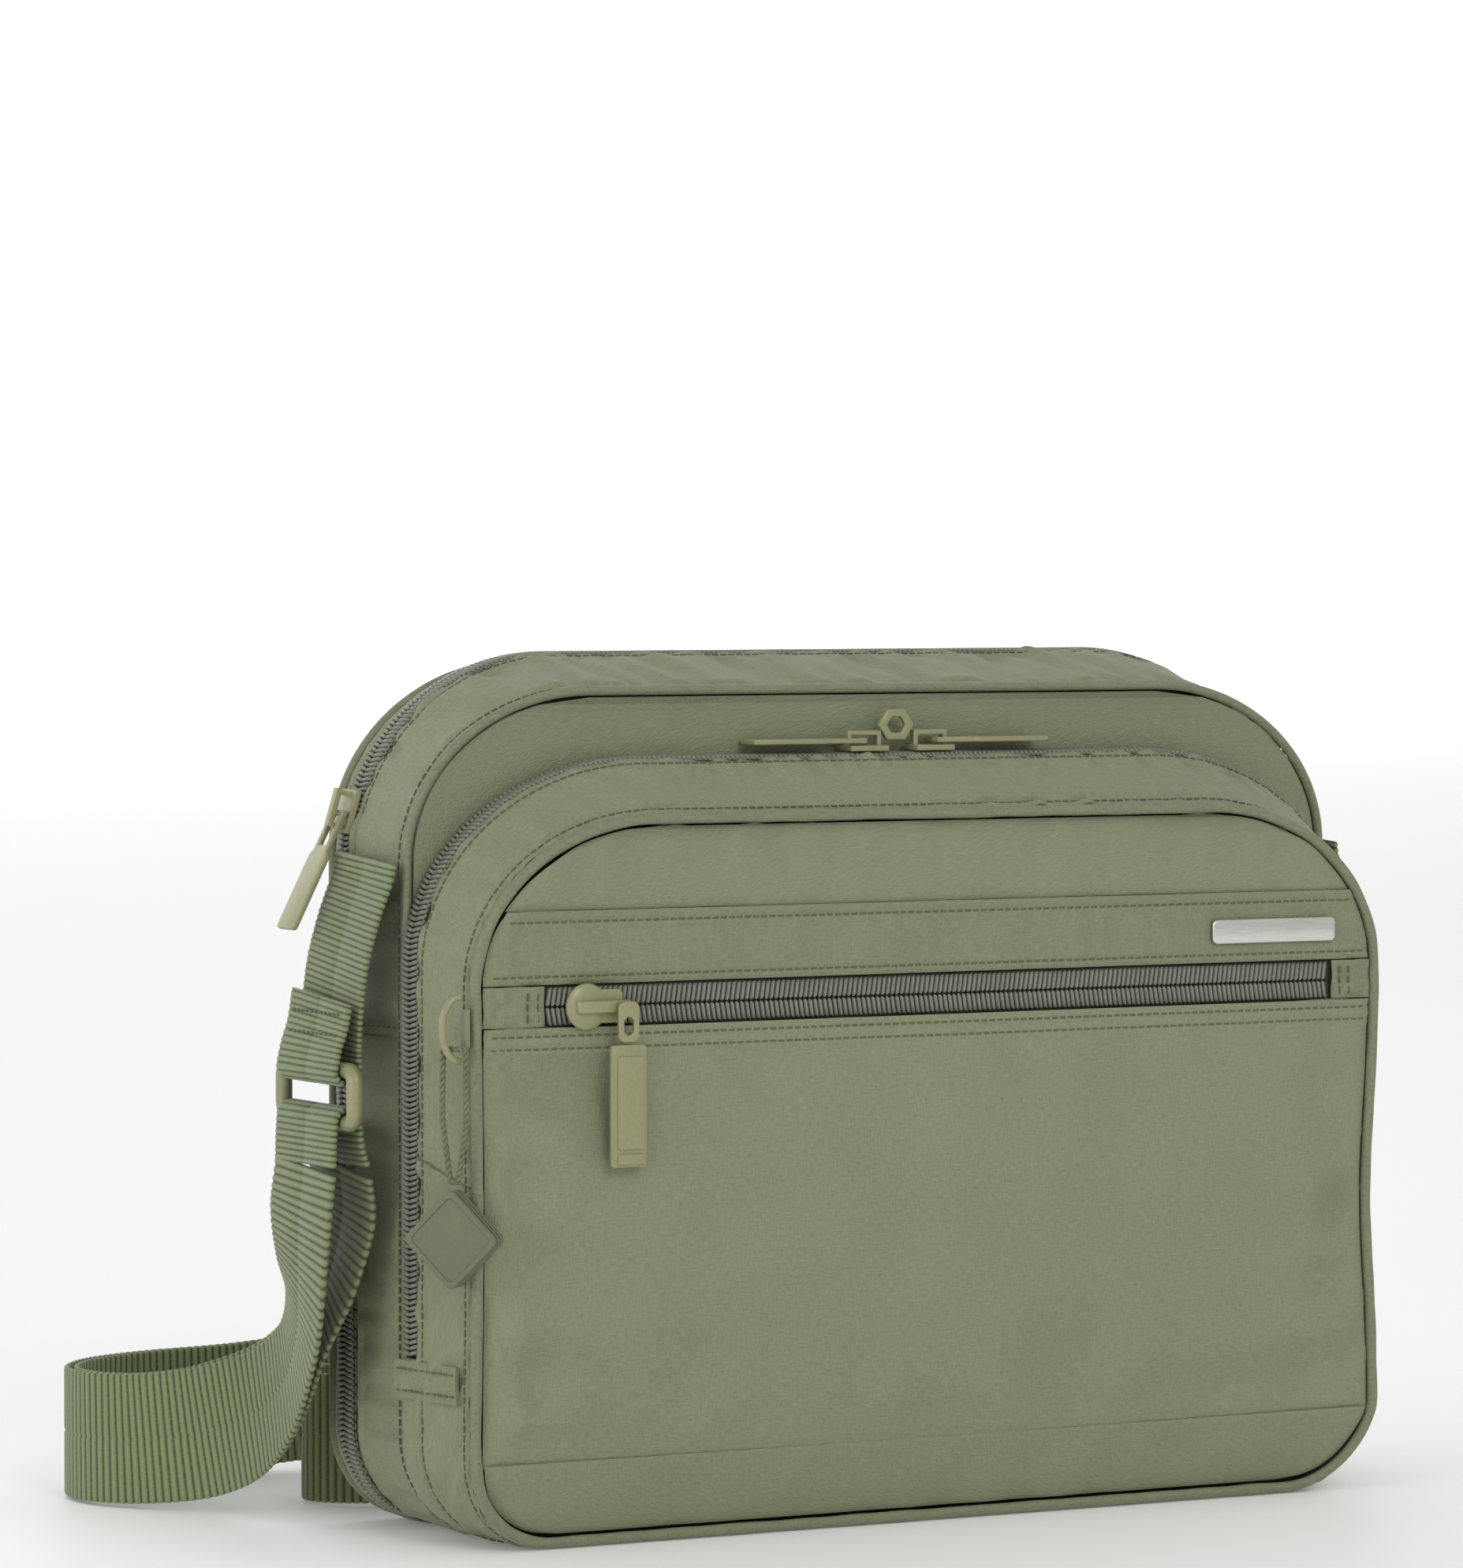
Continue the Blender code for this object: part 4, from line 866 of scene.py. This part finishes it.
def front_lid():
    pair = ("bag", "front_lid")
    band = strip(FRONT, FRONT_ZIP, FRONT_GUSSET, whole, 1000, 12, BAND_SEAMS)
    skin("front_band_skin", band, pair, ["front_gusset"], bend=LID_BEND, closed=True, relief=puckers(11, BAND_SEAMS))
    sew("front_band_stitches", seam_rows(FRONT, FRONT_ZIP, FRONT_GUSSET, BAND_SEAMS, -0.00006), pair, LID_BEND)
    line = whole(shrunk(FRONT, 0.0006)._replace(bottom=0.0013), 900)
    points = rows_of(line, 0.0)
    swell = 0.0013 * (1 + 0.05 * ripple(np.arange(900) * 0.0008, 0.0, 0.012, 21))
    dress(tube("front_piping_cord", points, swell, PIPING, closed=True), pair,
          ["front_piping", "front_base_piping"], LID_BEND)

    inner = shrunk(FRONT, 0.0023)
    foot, head = BASE_SEAM, POCKET_TOP

    def lower_depth(u, z, x):
        crown = FRONT_CROWN * (1 - u * u) * np.sin(np.pi * clamp((z - foot) / (head - foot)))
        soft = 0.0008 * ripple(x, z, 0.095, 31) + 0.0003 * ripple(x, z, 0.03, 32)
        corners = 0.001 * groove(np.abs(u), 0.93, 0.12) * ripple(x, z, 0.022, 33)
        # Slack folds that run in from the sides and fade towards the middle.
        corners = corners + 0.0021 * np.exp(-(1 + u) / 0.3) * ripple(x * 0.22 + z * 0.1, z + x * 0.3, 0.02, 35)
        corners = corners + 0.0018 * np.exp(-(1 - u) / 0.18) * ripple(x * 0.25, z - x * 0.15, 0.022, 36)
        soft = soft + 0.0008 * groove(z, 0.103, 0.009) * ripple(x + z * 0.6, z * 0.3, 0.02, 37)
        base = 0.0005 * groove(z, foot + 0.004, 0.007) * ripple(x, z * 0.3, 0.024, 34)
        fade = clamp((z - foot) / 0.01) * clamp((head - z) / 0.008)
        fade = fade * clamp((half_width(inner, z) - np.abs(x)) / 0.007)
        welt = -0.0006 * (1 / (1 + np.exp(-(z - 0.1098) / 0.0004)))
        rows = 0.00035 * sum(groove(z, row, 0.0006) for row in POCKET_ROWS)
        bulge = SEAM_BULGE * np.exp(-(z - foot) / 0.012) * (1 - u * u)
        return -0.001 - crown - bulge - (soft + corners + base) * fade + welt + rows \
            + edge_roll(x, z, inner, foot + 0.0003, head + 0.01)

    grid = face_grid(inner, foot + GAP, head, 260, 190, lower_depth)
    skin("pocket_skin", grid, pair, ["pocket_panel", "lower_front_panel"], bend=LID_BEND, away=FORWARD)

    def upper_depth(u, z, x):
        pleats = 0.0007 * clamp((z - 0.142) / 0.01) * ripple(x, z * 0.15, 0.02, 41)
        top = inner.top
        swell = 0.0009 * np.sin(np.pi * clamp((z - BAND_TOP) / (top - BAND_TOP)))
        return -0.001 - swell - pleats * 0.7 + edge_roll(x, z, inner, 0.0, top, 0.003, 0.001)

    grid = face_grid(inner, BAND_TOP + GAP, inner.top, 240, 34, upper_depth)
    skin("upper_front_skin", grid, "front_lid", ["upper_front_panel"], away=FORWARD)

    def band_depth(u, z, x):
        fold = -0.0006 * clamp((z - 0.137) / 0.003)
        rows = 0.0003 * sum(groove(z, row, 0.0006) for row in BAND_ROWS)
        wave = 0.00022 * ripple(x, z, 0.028, 51) + 0.0001 * ripple(x, z * 0.2, 0.008, 52)
        return -0.0014 + fold + rows - wave + edge_roll(x, z, inner, ZIP_TOP, BAND_TOP + 0.02, 0.003, 0.0012)

    grid = face_grid(inner, ZIP_TOP + GAP, BAND_TOP + 0.0002, 240, 40, band_depth)
    skin("badge_band_skin", grid, "front_lid", ["badge_band"], FABRIC_TRIM, "trim", away=FORWARD)

    groups = []
    x = np.linspace(-1, 1, 240)
    for z, depth_of in ((BAND_ROWS[0], band_depth), (BAND_ROWS[1], band_depth),
                        (POCKET_ROWS[0], lower_depth), (POCKET_ROWS[1], lower_depth)):
        height = np.full(240, z)
        across = half_width(inner, height) * x * 0.985
        groups.append(stitch_row(line_at(across, depth_of(x, height, across), height), FORWARD, 0.00002))
    for edge in (-0.1055, -0.103, 0.1077, 0.1102):
        z = np.linspace(POCKET_TOP + 0.001, ZIP_TOP - 0.001, 12)
        groups.append(stitch_row(line_at(edge, -0.0012, z), FORWARD, 0.00005))
    sew("front_panel_stitches", groups, "front_lid")

    left, right = -0.1008, 0.1056
    line = line_at(np.linspace(left, right, 60), -0.0003, ZIP_MIDDLE)
    for name, side in (("pocket_zip_upper", 1.0), ("pocket_zip_lower", -1.0)):
        zip_half(name, line, np.tile((0.0, -1.0, 0.0), (60, 1)), (0.0, 0.0, side), "front_lid", [f"{name}_coil"],
                 far=0.0041, tape=(0.0003, 0.0045))
    for name, sides, seed in (
        ("zip_tab_left", (-inner.half, left - GAP), 61),
        ("zip_tab_right", (right + GAP, inner.half), 62),
    ):
        def tab_depth(u, z, x, seed=seed):
            return -0.001 - 0.0003 * ripple(x, z, 0.007, seed) + 0.0006 * (np.abs(u) ** 8)
        grid = face_grid(inner, POCKET_TOP + GAP, ZIP_TOP, 40, 26, tab_depth, sides)
        skin(f"{name}_skin", grid, "front_lid", [name], FABRIC_TRIM, "trim", away=FORWARD)

    backing = shrunk(FRONT, 0.006)
    grid = face_grid(backing, FOLD + 0.003, backing.top, 80, 50,
                     lambda u, z, x: 0.0024 + 0.0002 * ripple(x, z, 0.03, 71))
    skin("pocket_backing_skin", grid, "front_lid", ["pocket_backing"], LINING, "lining", wall=0.0008, away=FORWARD)
    fine_copy("badge_bar", "badge_plate", STEEL, "front_lid", 0.0003)
    rim_zip("front_zip_front_teeth", FRONT_ZIP, FRONT_ZIP_CENTRE, -1.0, above(FOLD + GAP), "front_lid",
            ["front_zip_front_coil"])


def front_base():
    rim_zip("front_zip_rear_teeth", FRONT_ZIP, FRONT_ZIP_CENTRE, 1.0, above(FOLD + GAP), "bag",
            ["front_zip_rear_coil"])
    back = strip(FRONT_ZIP, FRONT_ZIP, (FRONT_GUSSET[1] + 0.0001, FRONT_GUSSET_BACK), below(FOLD - GAP), 420, 7)
    skin("front_base_skin", back, "bag", ["front_base_gusset"], relief=puckers(81, (), 0.00022))
    inner = shrunk(FRONT, 0.0023)._replace(bottom=0.0032)

    def strip_depth(u, z, x):
        curl = 0.0008 * clamp((0.011 - z) / 0.008) ** 2
        crease = 0.00045 * ripple(x, z * 0.2, 0.016, 91) * clamp((0.018 - z) / 0.006)
        tilt = (SEAM_BULGE - 0.0007) * (1 - u * u) * clamp((z - 0.0032) / 0.0158) - 0.0016 * (1 - z / 0.019)
        return -0.001 + curl - crease - tilt \
            + edge_roll(x, z, inner, 0.0, 0.05, 0.003, 0.0008)

    grid = face_grid(inner, inner.bottom, BASE_SEAM + 0.0008, 240, 30, strip_depth)
    skin("front_base_strip_skin", grid, "bag", ["front_base_strip"], away=FORWARD)
    groups = []
    for name, side in (("left", -1), ("right", 1)):
        rows = []
        for z in np.linspace(0.033, 0.0414, 14):
            share = np.linspace(0.1, 1.0, 26)
            depth = FRONT_GUSSET[0] + (FRONT_GUSSET_BACK - FRONT_GUSSET[0]) * share
            half = FRONT.half + (FRONT_ZIP.half - FRONT.half) * share + 0.0015
            puff = 0.0003 * np.sin(np.pi * (z - 0.033) / 0.0084) + 0.00015 * ripple(depth, z, 0.008, 95)
            rows.append(line_at(side * (half + puff), depth, z))
        skin(f"zip_end_{name}_skin", np.stack(rows), "bag", [f"zip_end_patch_{name}"], FABRIC_TRIM, "trim",
             wall=0.001, away=(side, 0, 0))
        for z in (0.0348, 0.0396):
            depth = np.linspace(0.0045, 0.0255, 20)
            half = FRONT.half + (FRONT_ZIP.half - FRONT.half) * (depth - FRONT_GUSSET[0]) / 0.0244 + 0.0017
            groups.append(stitch_row(line_at(side * half, depth, z), (side, 0, 0)))
    sew("zip_end_stitches", groups, "bag")


# ---------------------------------------------------------------- main compartment


def main_compartment():
    divider = shrunk(MIDDLE, 0.0017)._replace(bottom=0.0029)

    def divider_depth(u, z, x):
        return 0.0273 - 0.00022 * ripple(x, z, 0.05, 101) * clamp((divider.top - z) / 0.01) + 0 * u

    grid = face_grid(divider, divider.bottom, divider.top, 200, 120, divider_depth)
    skin("divider_skin", grid, "bag", ["middle_panel"], wall=0.0014, away=FORWARD)
    seam = shrunk(MIDDLE, 0.0002)._replace(bottom=0.0014)
    dress(tube("middle_piping_cord", rows_of(whole(seam, 900), MIDDLE_DEPTH), 0.0011, PIPING, closed=True), "bag",
          ["middle_piping"])
    # The lower gusset is tucked under the upper one.
    for half, outline, tuck, seed in (
        ("main_upper", above(GUSSET_SEAM + GAP), 0.0, 111), ("main_lower", below(GUSSET_SEAM + 0.0008), 0.0004, 121),
    ):
        grid = strip(shrunk(MIDDLE, tuck), shrunk(MAIN_ZIP, tuck), MAIN_GUSSET, outline, 640, 14, GUSSET_SEAMS)
        skin(f"{half}_skin", grid, "bag", [f"{half}_gusset"], relief=puckers(seed, GUSSET_SEAMS))
    groups = seam_rows(MIDDLE, MAIN_ZIP, MAIN_GUSSET, GUSSET_SEAMS, -0.00005)
    for side in (-1, 1):
        for z in (0.1143, 0.1192, 0.1426):
            depth = np.linspace(0.032, 0.0505, 24)
            share = (depth - MAIN_GUSSET[0]) / (MAIN_GUSSET[1] - MAIN_GUSSET[0])
            x = np.array([side * float(half_width(between(MIDDLE, MAIN_ZIP, t), z)) for t in share])
            groups.append(stitch_row(line_at(x, depth, z), (side, 0, 0), 0.0002))
    sew("main_gusset_stitches", groups, "bag")
    for name, side, outline, body, nodes in (
        ("main_zip_front", -1.0, above(FLAP_FOLD + GAP), "bag", ["main_zip_front_coil"]),
        ("main_zip_rear", 1.0, above(FLAP_FOLD + GAP), "rear_flap", ["main_zip_rear_coil"]),
        ("expansion_zip_front", -1.0, below(FLAP_FOLD - GAP), "bag", ["expansion_zip"]),
        ("expansion_zip_rear", 1.0, below(FLAP_FOLD - GAP), "bag", []),
    ):
        rim_zip(f"{name}_teeth", MAIN_ZIP, MAIN_ZIP_CENTRE, side, outline, body, nodes)
    pair = ("bag", "rear_flap")
    rim = strip(MAIN_ZIP, REAR, REAR_RIM, whole, 900, 6)
    skin("rear_rim_skin", rim, pair, ["rear_lower_rim", "rear_upper_rim"], bend=FLAP_BEND, closed=True,
         relief=puckers(131, (), 0.00012))
    seam = shrunk(REAR, 0.0006)._replace(bottom=0.0013)
    dress(tube("rear_piping_cord", rows_of(whole(seam, 900), REAR_SEAM), 0.0013, PIPING, closed=True), pair,
          ["rear_lower_piping", "rear_upper_piping"], FLAP_BEND)
    inner = shrunk(REAR, 0.0023)._replace(bottom=0.0032)
    low, high = inner.bottom, inner.top

    def rear_depth(u, z, x):
        crown = REAR_CROWN * (1 - u * u) * np.sin(np.pi * clamp((z - low) / (FLAP_FOLD - low)))
        soft = 0.0005 * ripple(x, z, 0.09, 141) + 0.0002 * ripple(x, z, 0.03, 142)
        fade = clamp((z - low) / 0.01) * clamp((high - z) / 0.01)
        return REAR_SEAM + 0.001 + crown + soft * fade * 0.8 - edge_roll(x, z, inner, low, high)

    grid = face_grid(inner, low, high, 220, 190, rear_depth)
    skin("rear_skin", grid, pair, ["rear_panel", "rear_flap_panel"], bend=FLAP_BEND, away=BACKWARD)
    liner = strip(shrunk(MIDDLE, 0.0021), shrunk(MAIN_ZIP, 0.0021), (0.0296, 0.052), whole, 400, 12)
    skin("lining_skin", liner, "bag", ["main_lining"], LINING, "lining", wall=0.0006, closed=True,
         relief=lambda u, v: 0.0003 * ripple(u, v, 0.03, 151) - 0.0003)
    slip = Section(0.095, 0.1355, 0.0205, 0.008, 0.008, 0.008)
    grid = face_grid(slip, slip.bottom, slip.top, 100, 60,
                     lambda u, z, x: 0.0302 + 0.0002 * ripple(x, z, 0.04, 161) + 0.0004 * (z > 0.1275))
    skin("organiser_skin", grid, "bag", ["organiser_pocket"], LINING, "lining", wall=0.001, away=BACKWARD)
    fine_copy("base_board_core", "base_board", BOARD, "bag", 0.0003)


# ---------------------------------------------------------------- rings, tabs and charm


def around_bar(height, start, end):
    return [(x, RING_DEPTH, z) for x, z in arc(RING_OUT, height, LOOP_RADIUS, LOOP_RADIUS, start, end, 14)]


def rounded_rectangle(width, height, radius, steps=10):
    corners = []
    for sign_x, sign_y, start in ((1, 1, 0), (-1, 1, 90), (-1, -1, 180), (1, -1, 270)):
        corners.append(arc(sign_x * (width / 2 - radius), sign_y * (height / 2 - radius), radius, radius,
                           start, start + 90, steps))
    return np.vstack(corners)


def side_webbing(name, side, outline):
    points = np.array([at(side * out, depth, z) for out, depth, z in outline])
    path = smooth_path(points, 3)
    obj, _ = ribbed(name, path, np.tile((0.0, 1.0, 0.0), (len(path), 1)), WEB_FINE, FINE_RIB)
    return obj


def side_hardware(name, side):
    tab = [
        (0.1244, 0.0405, 0.152), (0.1254, 0.0409, 0.147), (0.128, 0.0418, 0.139), (0.1302, 0.043, 0.129),
        (0.131, 0.0442, 0.119), (0.1311, 0.0449, 0.111),
    ]
    tab += around_bar(RING_TOP, 180, 360)
    tab += [(0.136, 0.0449, 0.11), (0.1345, 0.0446, 0.115), (0.1337, 0.0441, 0.121)]
    dress(side_webbing(f"{name}_tab_webbing", side, tab), "bag", [f"{name}_tab"])
    groups = []
    for z, out in ((0.113, 0.135), (0.1176, 0.1341)):
        line = line_at(side * (out + WEB_THICK / 2), RING_DEPTH + np.linspace(-0.0125, 0.0125, 16), z)
        groups.append(stitch_row(line, (side, 0, 0), 0.0001))
    sew(f"{name}_tab_stitches", groups, "bag", wide=0.00028, high=0.00026)
    loop_outline = rounded_rectangle(2 * RING_SPREAD, RING_TOP - RING_FOOT, 0.003)
    ring = np.array([at(side * RING_OUT, RING_DEPTH + y, (RING_TOP + RING_FOOT) / 2 + z) for y, z in loop_outline])
    ring = resample(np.vstack([ring, ring[:1]]), 161)[:-1]
    dress(tube(f"{name}_ring_bar", ring, RING_BAR, KHAKI, closed=True, sides=16, start=(1.0, 0.0, 0.0)),
          f"{name}_ring", [f"{name}_ring"])
    legs = [(0.1373, RING_DEPTH, 0.07), (0.1374, RING_DEPTH, 0.08)]
    tail = [(0.1322, RING_DEPTH, 0.086), (0.1345, RING_DEPTH, 0.079), (0.1351, RING_DEPTH, 0.07)]
    if side < 0:
        legs = [(0.1374, RING_DEPTH, 0.0838), (0.1373, RING_DEPTH, 0.089)]
        tail = [(0.1303, RING_DEPTH, 0.088), (0.1289, RING_DEPTH, 0.0838)]
    dress(side_webbing(f"{name}_loop_webbing", side, legs + around_bar(RING_FOOT, 0, 180) + tail), f"{name}_ring",
          [f"{name}_strap_loop"])


def charm():
    fine_copy("charm_fabric_loop", "charm_loop", FABRIC_TRIM, "front_lid", 0.0002)
    arch = arc(-0.1221, 0.116, 0.0043, 0.007, 90, 270, 40)
    dress(tube("charm_half_ring", [at(x, -0.0008, z) for x, z in arch], 0.0008, KHAKI, sides=12, start=(0, 1, 0)),
          "front_lid", ["charm_ring"])
    swing = Matrix.Translation(at(-0.1234, -0.0008, 0.109)) @ Matrix.Rotation(math.radians(-50), 4, "Z")
    strands = np.array([(-0.0027, 0.0027), (0.0027, 0.0027), (0.0029, -0.0123), (0.001, -0.0263), (-0.001, -0.0263),
                        (-0.0029, -0.0123), (-0.0027, 0.0027)])
    line = resample(np.column_stack([strands[:, 0], np.zeros(len(strands)), strands[:, 1]]), 241)[:-1]
    for _ in range(3):
        line = (np.roll(line, 1, 0) + line + np.roll(line, -1, 0)) / 3
    line = np.array([swing @ Vector(p) for p in line])
    side, top = frames(line, True, (0.3, 0.8, 0.1))
    turns = np.round(along(np.vstack([line, line[:1]]))[-1] / 0.003)
    parts = []
    for phase in (0.0, math.pi):
        angle = np.linspace(0, 2 * np.pi * turns, len(line), endpoint=False)[:, None] + phase
        ply = line + 0.00034 * (side * np.cos(angle) + top * np.sin(angle))
        parts.append(tube(f"charm_cord_ply_{len(parts)}", ply,
                          0.00042, CORD_LOOK, closed=True, sides=8))
    dress(parts[0], "charm_cord", ["charm_cord"])
    dress(parts[1], "charm_cord")
    half = 0.016
    middle = Matrix.Translation((0.0, 0.0, -0.0269 - 0.0006 - half / math.sqrt(2)))
    tag = swing @ middle @ Euler((math.pi / 2, math.radians(45), 0.0)).to_matrix().to_4x4()
    for i, (size, low, high) in enumerate(((0.016, 0.0011, 0.0025), (0.0148, -0.0016, 0.0014),
                                           (0.016, -0.0004, 0.0004), (0.016, -0.0025, -0.0011))):
        outline = rounded_rectangle(size, size, 0.0015, 6)
        levels = [(low, 0.985), (low + 0.0003, 1.0), (high - 0.0003, 1.0), (high, 0.975)]
        if i == 0:  # a plain raised border on the outer face
            levels += [(high, 0.86), (high - 0.00035, 0.84)]
        rings = [np.column_stack([outline * scale, np.full(len(outline), level)]) for level, scale in levels]
        dress(stacked(f"charm_tag_layer_{i}", rings, tag, RUBBER, 30.0), "charm_tag",
              ["charm_tag"] if i == 0 else ())


def hardware():
    for name in ("front_slider_left", "front_slider_right", "lock_eye", "front_pull_left", "front_pull_right",
                 "main_slider", "main_pull", "pocket_pull_link"):
        eye = name == "lock_eye"
        fine_copy(f"{name}_metal", name, KHAKI, "front_slider_left" if eye else name,
                  0.0004 if eye else 0.0003, 3)
    upright = Matrix.Rotation(math.pi / 2, 4, "X")
    place = Matrix.Translation(at(POCKET_SLIDER, 0.0, ZIP_MIDDLE)) @ upright
    dome = turned("pocket_slider_dome", [(0.0021, 0.0047), (0.0024, 0.0051), (0.003, 0.0051), (0.0034, 0.0046),
                                         (0.0037, 0.0036), (0.0039, 0.002), (0.00395, 0.0006)],
                  place @ Matrix.Translation((-0.0018, 0.0, 0.0)), KHAKI)
    dress(dome, "pocket_slider", ["pocket_slider"])
    bridge = np.array([(-0.005, 0.0028), (-0.005, 0.0042), (-0.0042, 0.0052), (-0.0028, 0.0056), (0.007, 0.0056),
                       (0.0082, 0.0046), (0.0082, 0.0028), (0.007, 0.0028), (0.0066, 0.0041), (-0.0026, 0.0041),
                       (-0.0034, 0.0036), (-0.0036, 0.0028)])
    for name, outline, low, high, turn in (
        ("neck", rounded_rectangle(0.009, 0.0074, 0.0012) + (0.0024, 0.0), 0.0021, 0.0033, Matrix.Identity(4)),
        ("bridge", bridge, -0.0013, 0.0013, upright),
        ("web", rounded_rectangle(0.006, 0.0009, 0.0003), -0.0018, 0.0026, Matrix.Identity(4)),
        ("back", rounded_rectangle(0.0096, 0.0072, 0.0014), -0.0022, -0.0012, Matrix.Identity(4)),
    ):
        piece = plate(f"pocket_slider_{name}", outline, low, high, place @ turn, KHAKI)
        dress(piece, "pocket_slider")
    hang = Matrix.Translation(at(POCKET_SLIDER + 0.0066, -0.0064, ZIP_MIDDLE - 0.0088)) @ upright
    body = rounded_rectangle(0.0088, 0.027, 0.0008) + (0.0, -0.0132)
    panel = rounded_rectangle(0.0066, 0.0205, 0.0005) + (0.0004, -0.0125)
    foot = rounded_rectangle(0.0066, 0.0024, 0.0004) + (0.0004, -0.0249)
    dress(plate("pocket_pull_plate", body, -0.0007, 0.0004, hang, KHAKI), "pocket_pull", ["pocket_pull"])
    for name, outline in (("face", panel), ("foot", foot)):
        dress(plate(f"pocket_pull_{name}", outline, 0.0002, 0.0008, hang, KHAKI, 0.00015), "pocket_pull")


studio()
straps()
front_lid()
front_base()
main_compartment()
side_hardware("left", -1)
side_hardware("right", 1)
charm()
hardware()
